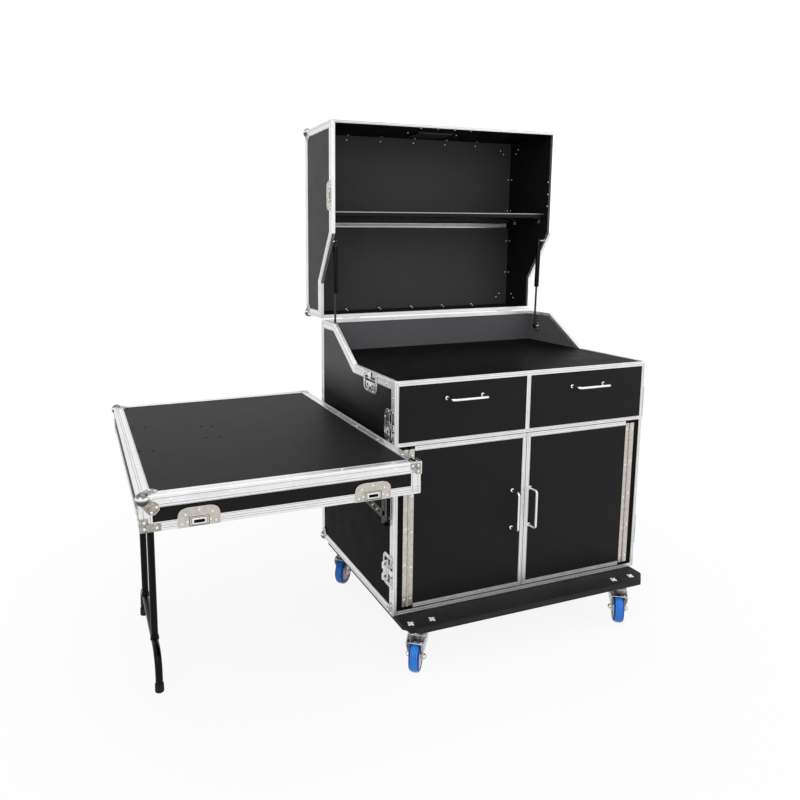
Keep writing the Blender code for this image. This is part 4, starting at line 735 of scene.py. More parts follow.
def build_forks():
    """Pressed zinc forks: a raceway bell, arms that narrow to the axle and a hood over the wheel."""
    thick, bow, hood_sag, hood_half = 0.0026, 0.0030, 0.0045, 0.0278
    washer = [(0.0046, 0.0226), (0.0094, 0.0226), (0.0094, 0.0240), (0.0046, 0.0240)]
    axle_end = [(0.0060, 0.0286), (0.0052, 0.0305), (0.0034, 0.0318), (0.0001, 0.0322)]
    for name, (x, y, degrees) in CASTORS.items():
        place = move(at(x, y, 0)) @ Matrix.Rotation(math.radians(degrees), 4, "Z")
        bell, arms, hood, axles = meshes(4)
        add_turned(bell, RACE_BELL, place, 48)
        for sign in BOTH:
            sheets = [[], []]
            for z, back, front, reach in FORK_LEVELS:
                row = [(back + (front - back) * t, reach - bow * (2 * t - 1) ** 4) for t in between(0, 1, 7)]
                for sheet, inset in zip(sheets, (0, thick)):
                    sheet.append([place @ Vector((u, sign * (v - inset), z)) for u, v in row])
            add_sheet(arms, *sheets)
        shells = []
        for radius in (0.0584, 0.0562):
            rows = []
            for angle in between(math.radians(64), math.radians(122), 9):
                row = []
                for t in between(-1, 1, 9):
                    r = radius - hood_sag * abs(t) ** 5
                    spot = (-TRAIL - r * math.cos(angle), hood_half * t, WHEEL_R + r * math.sin(angle))
                    row.append(place @ Vector(spot))
                rows.append(row)
            shells.append(rows)
        add_sheet(hood, *shells)
        lip = [point.lerp(other, 0.5) for point, other in zip(shells[0][0], shells[1][0])]
        add_tube(hood, lip, 0.0017, 12)
        parts, looks, body = [bell, arms, hood], ["zinc", "zinc", "polished"], "castor_" + name
        piece("castor_arms_" + name, parts, looks, body, 40, ["castor_fork_" + name])
        for flip in FLIPS:
            axle = place @ move((-TRAIL, 0, WHEEL_R)) @ QUARTER_X @ flip
            add_turned(axles, [(0.0001, 0.0002), (0.0046, 0.0002), (0.0046, 0.0226)], axle, 20)
            add_turned(axles, washer, axle, 28)
            add_plate(axles, hexagon(0.0082), 0.0236, 0.0288, axle, 0.0009)
            add_turned(axles, axle_end, axle, 20)
        piece("castor_axle_" + name, axles, "zinc", body, 35)


def build_castor_tops():
    """The painted board, its castor plates and races, and the carriage bolts through it."""
    inset, cut, rear_cut, front = 0.010, 0.040, 0.030, -0.088
    reach, rear = MIDDLE - inset, DEPTH - inset
    half = [(reach - cut, front), (reach, front + cut), (reach, rear - rear_cut), (reach - rear_cut, rear)]
    corners = half + [(-u, v) for u, v in reversed(half)]
    board, zinc, heads = meshes(3)
    outline = rounded_outline(corners, 0.006, 4)
    add_plate(board, outline, 0.0, BOARD_TOP - BOARD_LOW, move(at(MIDDLE, 0, BOARD_LOW)), 0.0025)
    race = [(0.0292, 0.1252), (0.0310, 0.1240), (0.0312, 0.1216), (0.0300, 0.1198), (0.0270, 0.1189)]
    half_x, half_y, bolt_x, bolt_near, bolt_far = 0.050, 0.042, 0.037, -0.018, 0.027
    lobes = [(0.0094 + 0.0026 * math.cos(4 * a), a) for a in steps(32)]
    star = [(r * math.cos(a), r * math.sin(a)) for r, a in lobes]
    for x, y, _ in CASTORS.values():
        plate = rectangle(x - half_x, y - half_y, x + half_x, y + half_y, 0.006)
        add_plate(zinc, plate, 0.0, 0.0029, move(at(0, 0, 0.1251)), 0.0006)
        add_turned(zinc, race, move(at(x, y, 0)), 48)
        for dx in (-bolt_x, bolt_x):
            for dy in (bolt_near, bolt_far):
                place = move(at(x + dx, y + dy, 0.1250)) @ OVER
                add_plate(zinc, hexagon(0.0068), 0.0, 0.0055, place, 0.0008)
                add_turned(zinc, [(0.0034, 0.0050), (0.0034, 0.0090), (0.0001, 0.0094)], place, 14)
            if y < 0:
                place = move(at(x + dx, y + bolt_near, BOARD_TOP)) @ Matrix.Rotation(0.5, 4, "Z")
                add_plate(heads, star, 0.0, 0.0026, place, 0.0007)
                add_heads(heads, place, [(0, 0, 0.0025)], 0.0046, 0.0013, 18)
    parts, looks = [board, zinc, heads], ["board", "zinc", "white_zinc"]
    piece("castor_board_painted", parts, looks, "cabinet", 40, ["castor_board"])


# Edging detail: each leg of an angle gets drawn ribs and a row of rivets
def strip(bm, place, length, profile):
    """A thin bar of the profile, which stops short of the leg's ends."""
    stop = 0.004
    ends = (stop, length - stop)
    solid(bm, [[bm.verts.new(place @ Vector((x, u, v))) for u, v in profile] for x in ends])


LINES = (0.17, 0.36, 0.86)
BEAD = [(-0.0011, -0.0002), (-0.0006, 0.00045), (0.0006, 0.00045), (0.0011, -0.0002)]
# The groove strip is a dark band beside each bead: painted shade in the groove.
GROOVE = [(0.0011, -0.0002), (0.0011, 0.00008), (0.0024, 0.00008), (0.0024, -0.0002)]


def leg_detail(detail, start, end, across, out, width, rivet_at=0.62, pitch=0.150, ends=0.05, lines=LINES):
    """One leg, from start to end along its edge; across runs over the leg, out away from its face.

    The detail is a mesh of beads, one of grooves, dark strips painted as the shade in the grooves, and, where
    the leg has rivets, one of rivets.
    """
    beads, grooves, *rivets = detail
    start, end = at(*start), at(*end)
    length = (end - start).length
    along = (end - start).normalized()
    for line in lines:
        place = move(start + across * width * line) @ axes(along, across, out)
        strip(beads, place, length, BEAD)
        strip(grooves, place, length, GROOVE)
    for bm in rivets:
        count = max(1, round((length - 2 * ends) / pitch))
        for distance in between(ends, length - ends, count + 1):
            centre = start + along * distance + across * width * rivet_at
            add_dome(bm, centre + out * 0.0001, out, *HEADS["angle"], 12)


def side_details(detail, corners, turn, widths, short, margins):
    """The angles round both side faces; turn is 1 where the corners run anticlockwise in y and z."""
    for x, inwards in ENDS:
        for (y0, z0), (y1, z1), width in zip(corners, corners[1:] + corners[:1], widths):
            along = Vector((0, y1 - y0, z1 - z0))
            across = (X * turn).cross(along.normalized())
            ends = margins[0] if along.length < short else margins[1]
            leg_detail(detail, (x, y0, z0), (x, y1, z1), across, X * -inwards, width, pitch=0.14, ends=ends)


def edge_pieces(detail, body):
    """The body's edge detail as two pieces, its ribs and its rivets."""
    *ribs, rivets = detail
    part = "case" if body == "cabinet" else body
    piece(part + "_edge_ribs", ribs, ["edging", "groove"], body, 20)
    piece(part + "_edge_rivets", rivets, "rivet", body, 60)


def build_case_edges():
    detail = meshes(3)
    ribs = detail[:2]
    front_leg, stile, rail, post = 0.024, 0.014, 0.015, 0.0135
    corners = [(0, BASE_Z), (DEPTH, BASE_Z), (DEPTH, TOP_Z), (FLAT_Y, TOP_Z), (SLOPE_Y, RIM_Z), (0, RIM_Z)]
    side_details(detail, corners, 1, [LEG] * 5 + [front_leg], 0.3, (0.03, 0.055))
    for z, up in ((BASE_Z, Z), (TOP_Z, -Z)):
        leg_detail(detail, (0, DEPTH, z), (WIDTH, DEPTH, z), up, Y, LEG, ends=0.06)
    for x, inwards in ENDS:
        leg_detail(detail, (x, DEPTH, BASE_Z), (x, DEPTH, TOP_Z), X * inwards, Y, LEG, ends=0.06)
    slim = (0.28, 0.72)
    for z, width in ((WORKTOP_LOW, RIM_Z - WORKTOP_LOW), (DECK_LOW, DECK_TOP - DECK_LOW), (BASE_Z, rail)):
        leg_detail(ribs, (stile, 0, z), (WIDTH - stile, 0, z), Z, -Y, width, lines=slim)
    middle = MIDDLE - rail / 2
    leg_detail(ribs, (middle, 0, DECK_TOP), (middle, 0, WORKTOP_LOW), X, -Y, rail, lines=slim)
    for x, inwards in ENDS:
        leg_detail(ribs, (x, 0, BASE_Z), (x, 0, RIM_Z), X * inwards, -Y, post, lines=slim)
        leg_detail(ribs, (x, 0, RIM_Z), (x, SLOPE_Y, RIM_Z), X * inwards, Z, RIM_IN, lines=(0.3, 0.7))
    edge_pieces(detail, "cabinet")


def build_door_detail():
    low_z, high_z, outer_x, half_gap, width = 0.1638, 0.6903, 0.0705, 0.00125, 0.014
    for side, _, sign in SIDES:
        ribs = meshes(2)
        meet, start = MIDDLE - sign * half_gap, MIDDLE - sign * (MIDDLE - outer_x)
        for z, up in ((low_z, Z), (high_z, -Z)):
            leg_detail(ribs, (start, 0, z), (meet, 0, z), up, -Y, width, lines=(0.25, 0.75))
        leg_detail(ribs, (meet, 0, low_z), (meet, 0, high_z), X * -sign, -Y, width, lines=(0.25, 0.75))
        piece("door_trim_ribs_" + side, ribs, ["edging", "groove"], "door_" + side, 20)


def build_hinges():
    """Piano hinges with a fine row of knuckles and a row of five screws on each leaf."""
    axis_in, knuckles, screws, leaf = 0.051, 33, 5, (0.0030, 0.018)
    margin, stagger, screw_in = 0.022, 0.012, 0.0112
    front = ORIGIN.y
    for side, face_x, sign in SIDES:
        a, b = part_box("door_hinge_frame_leaf_" + side)
        axis_x = at(face_x + sign * axis_in, 0, 0).x
        pitch = (b.z - a.z) / knuckles
        height = pitch - 0.0006
        knuckle = [(0.0001, 0), (0.0026, 0), (0.0028, 0.0003)]
        knuckle += [(r, height - z) for r, z in reversed(knuckle)]
        for kind, body, out in (("frame", "cabinet", -sign), ("door", "door_" + side, sign)):
            bm, heads = meshes(2)
            near, far = (axis_x + out * reach for reach in leaf)
            add_box(bm, (near, front + 0.0003, a.z), (far, front + 0.0015, b.z), 0.0003, segments=1)
            for i in range(0 if kind == "frame" else 1, knuckles, 2):
                z = a.z + i * pitch + 0.0003
                add_turned(bm, knuckle, move((axis_x, front - 0.0006, z)), 16)
                inner, outer = axis_x + out * 0.0014, near + out * 0.001
                add_box(bm, (inner, front + 0.0002, z), (outer, front + 0.0014, z + height))
            node = f"door_hinge_{kind}_leaf_{side}"
            piece(f"door_hinge_{kind}_plate_{side}", bm, "nickel", body, 30, [node])
            for k, z in enumerate(between(a.z + margin, b.z - margin, screws)):
                lower = stagger if kind == "door" and 0 < k < screws - 1 else 0
                centre = Vector((axis_x + out * screw_in, front + 0.0003, z - lower))
                add_dome(heads, centre, -Y, *HEADS["door_hinge"])
            piece(f"door_hinge_{kind}_rivets_{side}", heads, "rivet", body, 60)


def rivet_tails():
    """Where the rivets of the lid's angles, struts and handle end inside it, and which way they look."""
    back, roof, floor = LID_BACK - PANEL_IN, LID_TOP - PANEL_IN, LID_LOW + PANEL_IN
    from_angle, near_back = 0.014, 0.012
    spots = []
    for x in (0.171, 0.320, 0.470, 0.620, 0.768):
        spots += [((x, back, roof - 0.016), -Y), ((x, back, floor + 0.004), -Y)]
        spots += [((x, back - from_angle, roof), -Z), ((x, back - from_angle, floor), Z)]
    for x, inwards in ((PANEL_IN, 1), (WIDTH - PANEL_IN, -1)):
        for z in (1.577, 1.443, 1.312, 1.174):
            spots += [((x + inwards * 0.008, back, z), -Y), ((x, back - near_back, z), X * inwards)]
        for away, rise in ((0.052, 0.030), (0.036, 0.046)):
            for z in (roof - rise, floor + rise):
                spots += [((x + inwards * away, back, z), -Y), ((x, back - away, z), X * inwards)]
        for z in (1.545, 1.497, 1.450):
            spots.append(((x, LID_DEEP_Y + 0.020, z), X * inwards))
    for y in (0.548, 0.655):
        spots += [((x, y, roof), -Z) for x in between(MIDDLE - 0.108, MIDDLE + 0.108, 4)]
    return spots


def build_lid_edges():
    detail = meshes(3)
    top, low_z, deep, back = LID_TOP, LID_LOW, LID_DEEP_Y, LID_BACK
    corners = [(deep, top), (back, top), (back, low_z), (LID_SHALLOW_Y, low_z)]
    corners += [(LID_SHALLOW_Y, LID_SLOPE_LOW), (deep, LID_SLOPE_TOP)]
    side_details(detail, corners, -1, [LEG] * 6, 0.25, (0.05, 0.075))
    for y, z, across, out in (
        (deep, top, Y, Z),
        (back, top, -Y, Z),
        (back, top, -Z, Y),
        (back, low_z, Z, Y),
        (back, low_z, -Y, -Z),
    ):
        leg_detail(detail, (0, y, z), (WIDTH, y, z), across, out, LEG, ends=0.07)
    for x, inwards in ENDS:
        leg_detail(detail, (x, deep, top), (x, back, top), X * inwards, Z, LEG, ends=0.07)
        leg_detail(detail, (x, back, low_z), (x, back, top), X * inwards, Y, LEG, ends=0.07)
    leg_detail(detail[:2], (0.002, deep, top), (WIDTH - 0.002, deep, top), -Z, -Y, RIM_IN, lines=(0.3, 0.7))
    edge_pieces(detail, "lid")
    tails = bmesh.new()
    for spot, normal in rivet_tails():
        add_dome(tails, at(*spot) + normal * 0.0002, normal, *HEADS["tail"], 12)
    piece("lid_rivet_tails", tails, "rivet", "lid", 60)


def build_cover_edges():
    detail = meshes(3)
    ribs = detail[:2]
    left, right, near, far = TABLE_LEFT, TABLE_RIGHT, TABLE_NEAR, TABLE_FAR
    top, rim = TABLE_TOP, TABLE_RIM
    walls = [((left, y), (right, y), across) for y, across in ((near, Y), (far, -Y))]
    walls += [((x, near), (x, far), across) for x, across in ((left, X), (right, -X))]
    upper, wall, lower, post = (0.15, 0.36, 0.88), (0.2, 0.7, 0.9), (0.25, 0.5, 0.8), (0.25, 0.8)
    for a, b, inwards in walls:
        leg_detail(detail, (*a, top), (*b, top), inwards, Z, COVER_LEG, ends=0.075, lines=upper)
        leg_detail(detail, (*a, top), (*b, top), -Z, -inwards, COVER_LEG, 0.45, ends=0.075, lines=wall)
        leg_detail(ribs, (*a, rim), (*b, rim), Z, -inwards, COVER_RIM_LEG, lines=lower)
    for x, to_right in ((left, X), (right, -X)):
        for y, to_far in ((near, Y), (far, -Y)):
            leg_detail(ribs, (x, y, rim), (x, y, top), to_right, -to_far, COVER_LEG, lines=post)
            leg_detail(ribs, (x, y, rim), (x, y, top), to_far, -to_right, COVER_LEG, lines=post)
    edge_pieces(detail, "cover")
    spots = bmesh.new()
    panel = TABLE_TOP - 0.0018
    places = [(-0.689, 0.434), (-0.693, 0.171), (-0.730, 0.443), (-0.732, 0.176)]
    places += [(-0.515, 0.381), (-0.482, 0.368), (-0.524, 0.248), (-0.481, 0.243)]
    for x, y in places:
        add_dome(spots, at(x, y, panel), Z, *HEADS["table"], 14, 2)
    piece("cover_screw_heads", spots, "slot", "cover", 60)


# Corners
def corner_ball(bm, corner, signs, radius=0.0175, sink=0.0085):
    """The outside of a pressed ball over a corner."""
    centre = corner + Vector(signs) * sink
    part = bmesh.new()
    bmesh.ops.create_uvsphere(part, u_segments=40, v_segments=24, radius=radius)
    bmesh.ops.translate(part, verts=part.verts[:], vec=centre)
    inside = [v for v in part.verts if all((v.co[i] - corner[i]) * signs[i] > 0.0012 for i in range(3))]
    bmesh.ops.delete(part, geom=inside, context="VERTS")
    copy_into(bm, part)


def corner_faces(corner, signs):
    """The three faces round a corner: a frame on each with Z out and the corner at its origin."""
    inwards = [axis * sign for axis, sign in zip((X, Y, Z), signs)]
    for i, j, k in ((1, 2, 0), (0, 2, 1), (0, 1, 2)):
        yield move(corner) @ axes(inwards[i], inwards[j], -inwards[k])


TONGUE = [(0.0012, 0.0012), (0.0185, 0.0012), (0.0462, 0.0222), (0.0462, 0.0356)]
TONGUE += [(0.0356, 0.0462), (0.0222, 0.0462), (0.0012, 0.0185)]
TONGUE_RADII = [0, 0.004, 0.003, 0.003, 0.003, 0.003, 0.004]


def build_corners():
    """Ball corners on plates with a ridged tongue; two plates where the castor board hides the third."""
    corners = {
        "lid": [(x, LID_BACK, z, s, -1, up) for x, s in ENDS for z, up in ((LID_TOP, -1), (LID_LOW, 1))],
        "cover": [(TABLE_LEFT, y, TABLE_TOP, 1, s, -1) for y, s in ((TABLE_NEAR, 1), (TABLE_FAR, -1))],
        "cabinet": [(x, DEPTH, BASE_Z, s, -1, 1) for x, s in ENDS],
    }
    tongue = rounded_outline(TONGUE, TONGUE_RADII, 3)
    ridge_turn = Matrix.Rotation(math.radians(45), 4, "Z")
    for body, places in corners.items():
        balls, plates, pins = meshes(3)
        for x, y, z, *signs in places:
            corner_ball(balls, at(x, y, z), signs)
            for face in list(corner_faces(at(x, y, z), signs))[:2 if body == "cabinet" else 3]:
                add_plate(plates, tongue, 0.0012, 0.0021, face, 0.0004)
                add_box(plates, (0.030, -0.0022, 0.0018), (0.056, 0.0022, 0.0027), 0.0004, face @ ridge_turn)
                add_heads(pins, face, [(0.0405, 0.0285, 0.0020), (0.0285, 0.0405, 0.0020)], *HEADS["plate"])
        piece(f"{body}_corner_balls", balls, "chrome", body, 60)
        piece(f"{body}_corner_plates", [plates, pins], ["aged_nickel", "rivet"], body, 35)


def flat_bracket(plates, pins, corner, across, up, out, reach=0.050, rise=0.050, arm=0.022):
    """A small riveted L bracket on one face; across and up run from the corner over the face."""
    edge, notch, lift = 0.0012, 0.004, 0.0003
    place = move(at(*corner) + out * lift) @ axes(across, up, out)
    points = [(edge, edge), (reach, edge), (reach, arm), (arm + notch, arm), (arm, arm + notch)]
    points += [(arm, rise), (edge, rise)]
    add_plate(plates, rounded_outline(points, 0.0018, 3), -0.0002, 0.0011, place, 0.0004)
    half, head = arm / 2, 0.0010
    spots = [(half, half, head), (reach - half, half, head), (half, rise - half, head)]
    add_heads(pins, place, spots, *HEADS["bracket"])


def build_brackets():
    plates, pins = meshes(2)
    for x, inwards in ENDS:
        flat_bracket(plates, pins, (x, 0, BASE_Z), Y, Z, X * -inwards, 0.042, 0.042, 0.018)
        flat_bracket(plates, pins, (x, DEPTH, TOP_Z), X * inwards, -Z, Y)
    piece("case_corner_brackets", [plates, pins], ["aged_nickel", "rivet"], "cabinet", 30)
    plates, pins = meshes(2)
    long, short, width, near, notch, spot = 0.036, 0.020, 0.0332, 0.001, 0.0156, 0.009
    points = [(near, near), (width, near), (width, notch), (notch, width), (near, width)]
    cap = rounded_outline(points, 0.0018, 3)
    for y, inwards in ((TABLE_NEAR, 1), (TABLE_FAR, -1)):
        flat_bracket(plates, pins, (TABLE_LEFT, y, TABLE_RIM), X, Z, Y * -inwards, 0.050, long, short)
        flat_bracket(plates, pins, (TABLE_LEFT, y, TABLE_RIM), Y * inwards, Z, -X, 0.050, long, short)
        flat_bracket(plates, pins, (TABLE_RIGHT, y, TABLE_RIM), Y * inwards, Z, X, 0.046, long, short)
        for face in corner_faces(at(TABLE_RIGHT, y, TABLE_TOP), (-1, inwards, -1)):
            add_plate(plates, cap, 0.0012, 0.0021, face, 0.0004)
            spots = [(u, v, 0.0020) for u, v in ((spot, spot), (0.026, spot), (spot, 0.026))]
            add_heads(pins, face, spots, *HEADS["plate"])
    piece("cover_corner_brackets", [plates, pins], ["aged_nickel", "rivet"], "cover", 30)


# Latches: recessed dish with hook and hub, turning wing, and the keeper across the seam
def latch_frames():
    """A frame for each latch, with Y away from the seam and Z out of the side."""
    for side, x, inwards in SIDES:
        yield "upper_" + side, frame_at(at(x, 0, RIM_Z - LATCH_DROP), Y, X * -inwards)
        yield "lower_" + side, frame_at(at(x, 0, BASE_Z + LATCH_RISE), Y, X * -inwards)
        yield "counter_" + side, frame_at(at(x, COUNTER_Y, RIM_Z), -Z, X * -inwards)


def half_round(half, low_v, high_v, radius):
    """A plate's outline, straight at the seam and round at its far end."""
    points = [(-half, low_v), (half, low_v), (half, high_v), (-half, high_v)]
    return rounded_outline(points, [0.001, 0.001, radius, radius], 7)


def pad(half, low_v, high_v, radius):
    """A rounded rectangle as far to the left as to the right."""
    return rectangle(-half, low_v, half, high_v, radius)


def pairs(spots, z):
    """The spots and their mirror images, at one height."""
    return [(sign * u, v, z) for u, v in spots for sign in BOTH]


def latch_dish(plates, hooks, shade_marks, pins, place):
    """A pan in a flanged plate, with its turning hub, the hook drawn back and painted shade in the pan's
    corners and beside the hook.
    """
    floor, pan = -0.0063, pad(0.0380, 0.0150, 0.0570, 0.005)
    outline = half_round(0.053, 0.0004, 0.068, 0.026)
    add_plate(plates, outline, 0.0003, 0.0018, place, 0.0005, [(pan, -0.0062)])
    add_plate(plates, pad(0.0396, 0.0134, 0.0586, 0.0062), 0.0017, 0.0023, place, 0.0003, [(pan, None)])
    for sign in BOTH:
        for bm, middle, half, v0, v1, w0, w1, bevel in (
            (plates, 0.0360, 0.0015, 0.0315, 0.0375, floor, 0.0014, 0.0006),
            (shade_marks, 0.0235, 0.0115, 0.0165, 0.0555, floor, -0.0054, 0.0008),
            (shade_marks, 0.0128, 0.0024, 0.0006, 0.0130, 0.0017, 0.0021, 0.0),
        ):
            add_box(bm, (sign * middle - half, v0, w0), (sign * middle + half, v1, w1), bevel, place)
    hub = [(0.0105, floor), (0.0100, -0.0030), (0.0082, -0.0022), (0.0080, 0.0010)]
    hub += [(0.0066, 0.0018), (0.0001, 0.0018)]
    add_turned(hooks, hub, place @ move((0, 0.024, 0)), 24)
    hook = [(-0.0098, 0.0008), (0.0098, 0.0008), (0.0098, 0.0240), (-0.0098, 0.0240)]
    add_plate(hooks, rounded_outline(hook, [0.002, 0.002, 0.0085, 0.0085], 6), 0.0026, 0.0044, place, 0.0006)
    add_box(hooks, (-0.0096, 0.0008, 0.0019), (0.0096, 0.0034, 0.0030), 0.0004, place)
    add_heads(hooks, place, [(0, 0.0150, 0.0043)], 0.0050, 0.0011, 18)
    add_box(hooks, (-0.0016, 0.0025, 0.0040), (0.0016, 0.0090, 0.0049), 0.0004, place)
    spots = pairs(((0.0462, 0.009), (0.0462, 0.038), (0.0235, 0.0630)), 0.0017)
    add_heads(pins, place, spots, *HEADS["latch"])


def latch_wing(plates, place):
    """The butterfly wing on its pin along X, with two finger holes and two ribs."""
    half, low_v, high_v, notch, notch_v = 0.0335, -0.001, 0.0210, (0.0085, 0.0050), 0.0150
    right = [(half, low_v), (half, high_v), (notch[0], high_v), (notch[1], notch_v)]
    radii = [0.002, 0.0100, 0.004, 0.003]
    left = [(-u, v) for u, v in reversed(right)]
    outline = rounded_outline(right + left, radii + radii[::-1], 5)
    holes = [(round_hole(sign * 0.0205, 0.0105, 0.0054), None) for sign in BOTH]
    add_plate(plates, outline, -0.0010, 0.0008, place, 0.0004, holes)
    add_tube(plates, [place @ Vector((x, 0, 0)) for x in (-0.0298, 0.0298)], 0.0019, 12)
    for x in (-0.0085, 0.0085):
        add_box(plates, (x - 0.001, 0.003, 0.0006), (x + 0.001, 0.0135, 0.0013), 0.0003, place)


def keeper(plates, loops, shade_marks, pins, place):
    """The half-round plate across the seam from a latch, with the raised loop that its hook takes hold of."""
    gap = pad(0.0135, 0.0098, 0.0182, 0.0015)
    for bm, outline, low_w, high_w, bevel, holes in (
        (plates, half_round(0.0525, 0.0008, 0.0495, 0.0255), 0.0012, 0.0020, 0.0004, ()),
        # The dark rings round the pad and round the loop are painted shade in the grooves.
        (shade_marks, pad(0.0248, 0.0022, 0.0262, 0.003), 0.0018, 0.0021, 0.0, ()),
        (plates, pad(0.0235, 0.0035, 0.0249, 0.003), 0.0018, 0.0026, 0.0004, ()),
        (shade_marks, pad(0.0190, 0.0050, 0.0228, 0.003), 0.0024, 0.0028, 0.0, ()),
        (loops, pad(0.0180, 0.0060, 0.0218, 0.003), 0.0024, 0.0044, 0.0008, [(gap, None)]),
    ):
        add_plate(bm, outline, low_w, high_w, place, bevel, holes)
    spots = pairs(((0.0415, 0.0095), (0.0330, 0.0330), (0.0285, 0.0140)), 0.0019)
    add_heads(pins, place, spots + [(0.0, 0.0420, 0.0019)], *HEADS["keeper"])


def build_latches():
    pivot = move((0, 0.0345, 0.0005))
    for name, place in latch_frames():
        dish, wing = meshes(4), bmesh.new()
        latch_dish(*dish, place)
        looks = ["latch", "bright", "slot", "rivet"]
        piece("latch_plate_" + name, dish, looks, "cabinet", 35, ["latch_dish_" + name])
        stands = name == "lower_left"
        latch_wing(wing, place @ pivot @ (QUARTER_X if stands else Matrix.Identity(4)))
        look = "white_zinc" if stands else "bright"
        piece("latch_butterfly_" + name, wing, look, "wing_" + name, 35, ["latch_wing_" + name])
    upper, lower = TABLE_RIGHT - LATCH_DROP, TABLE_RIGHT - (RIM_Z - BASE_Z - LATCH_RISE)
    walls = ((TABLE_NEAR, -Y), (TABLE_FAR, Y))
    closed_z = TOP_Z + LID_AXIS_Y - COUNTER_Y
    keepers = {
        "cover": [frame_at(at(x, y, TABLE_RIM), Z, out) for x in (upper, lower) for y, out in walls],
        "lid": [frame_at(at(x, LID_DEEP_Y, closed_z), Y, X * -inwards) for x, inwards in ENDS],
    }
    for body, places in keepers.items():
        parts = meshes(4)
        for place in places:
            keeper(*parts, place)
        piece(body + "_latch_keepers", parts, ["nickel", "bright", "slot", "rivet"], body, 35)


# Hutch fittings: light bar, shelf trim, struts, hinges and lifting handle
def build_hutch():
    """The light bar's milky strip, end caps and lead, and the shelf's front trim and clips."""
    a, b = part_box("lid_light_bar")
    milky, ends = meshes(2)
    cap, proud, lip = 0.014, 0.0006, 0.0045
    add_box(milky, (a.x + cap, a.y - 0.0004, a.z + lip), (b.x - cap, a.y + 0.004, b.z - lip), 0.0012)
    for x0, x1 in ((a.x - proud, a.x + 0.012), (b.x - 0.012, b.x + proud)):
        add_box(ends, (x0, a.y - proud, a.z - proud), (x1, b.y, b.z + proud), 0.002)
    z, wall = (a.z + b.z) / 2, at(PANEL_IN, 0, 0).x
    lead = [(a.x + 0.002, z), (a.x - 0.004, z), (a.x - 0.006, z + 0.014), (wall + 0.0016, z + 0.020)]
    add_tube(ends, bent([(x, a.y + 0.006, height) for x, height in lead], 0.0025, 4), 0.0013, 10)
    piece("hutch_light_diffuser", [milky, ends], ["diffuser", "enamel"], "lid", 35)
    a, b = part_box("lid_shelf")
    trim, clips, pins = meshes(3)
    y, low_z, high_z = a.y - 0.0006, b.z - 0.0045, b.z - 0.0008
    add_box(trim, (a.x + 0.001, y, low_z), (b.x - 0.001, a.y + 0.0015, high_z), 0.0004)
    half = Y * 0.009
    for x, inwards in ((a.x, X), (b.x, -X)):
        for y in (a.y + 0.030, b.y - 0.045):
            spot = Vector((x, y, a.z))
            add_box(clips, spot - half - Z * 0.0016, spot + half + inwards * 0.022 + Z * 0.0002, 0.0004)
            add_box(clips, spot - half - inwards * 0.0002 - Z * 0.022, spot + half + inwards * 0.0014, 0.0004)
            add_dome(pins, spot + inwards * 0.0013 - Z * 0.013, inwards, *HEADS["clip"], 12)
            add_dome(pins, spot + inwards * 0.013 - Z * 0.0015, -Z, *HEADS["clip"], 12)
    piece("hutch_shelf_trim", [trim, clips, pins], ["groove", "zinc", "rivet"], "lid", 35)


def socket(bm, place):
    """A strut's end socket, about its stud along X."""
    half = [(0.0076, 0.0), (0.0075, 0.0034), (0.0068, 0.0041), (0.0039, 0.0041)]
    add_turned(bm, mirrored(half[1:]) + half + [(0.0039, -0.0041)], place @ QUARTER_Y, 24)


def build_struts():
    """Gas struts: a black cylinder with an end socket, a rod with its socket, and the stud at each end."""
    foot_yz, head_yz, side_in = (0.563, 0.957), (0.556, 1.312), 0.030
    shell = [(0.0046, -0.190), (0.0078, -0.190), (0.0089, -0.1888), (0.0090, -0.187)]
    shell += [(0.0090, -0.0215), (0.0084, -0.0200), (0.0046, -0.0188), (0.0001, -0.0188)]
    neck = [(0.0001, -0.0040), (0.0042, -0.0040), (0.0046, -0.0056), (0.0036, -0.0080), (0.0036, -0.0190)]
    stud = [(0.0062, 0.0), (0.0062, 0.0016), (0.0040, 0.0030), (0.0037, 0.0060), (0.0037, 0.0120)]
    base_half, head_z = Vector((0, 0.0104, 0.018)), 0.012
    for side, face_x, sign in SIDES:
        head, foot = (at(face_x + sign * side_in, *yz) for yz in (head_yz, foot_yz))
        inwards, length = X * sign, (foot - head).length
        turn = move(head) @ (-Z).rotation_difference((foot - head).normalized()).to_matrix().to_4x4()
        tube, cap, rod, end = meshes(4)
        add_turned(tube, shell, turn, 28)
        add_turned(cap, neck, turn, 20)
        socket(cap, turn)
        piece("strut_tube_smooth_" + side, [tube, cap], ["enamel", "dark_steel"], "strut_tube_" + side,
              40, ["strut_cylinder_" + side])
        add_tube(rod, [turn @ Vector((0, 0, z)) for z in (-0.180, 0.004 - length)], 0.0040, 20)
        socket(end, turn @ move((0, 0, -length)))
        piece("strut_stem_smooth_" + side, [rod, end], ["dark_steel", "enamel"], "strut_stem_" + side,
              40, ["strut_rod_" + side])
        panel = at(face_x + sign * PANEL_IN, 0, 0).x
        low_stud, high_stud = (Vector((panel, spot.y, spot.z)) for spot in (foot, head))
        about = Matrix.Rotation(math.radians(90 * sign), 4, "Y")
        base, low_ball, high_ball = meshes(3)
        add_box(base, low_stud - base_half, low_stud + base_half + inwards * 0.0026, 0.0005)
        for z in (-head_z, head_z):
            add_dome(low_ball, low_stud + inwards * 0.0024 + Z * z, inwards, *HEADS["strut"], 12)
        for ball, place in ((low_ball, low_stud), (high_ball, high_stud)):
            add_turned(ball, stud, move(place + inwards * 0.0020) @ about, 20)
        looks = ["zinc", "bright"]
        piece("strut_mount_cabinet_" + side, [base, low_ball], looks, "cabinet", 40)
        piece("strut_mount_lid_" + side, high_ball, "bright", "lid", 40)


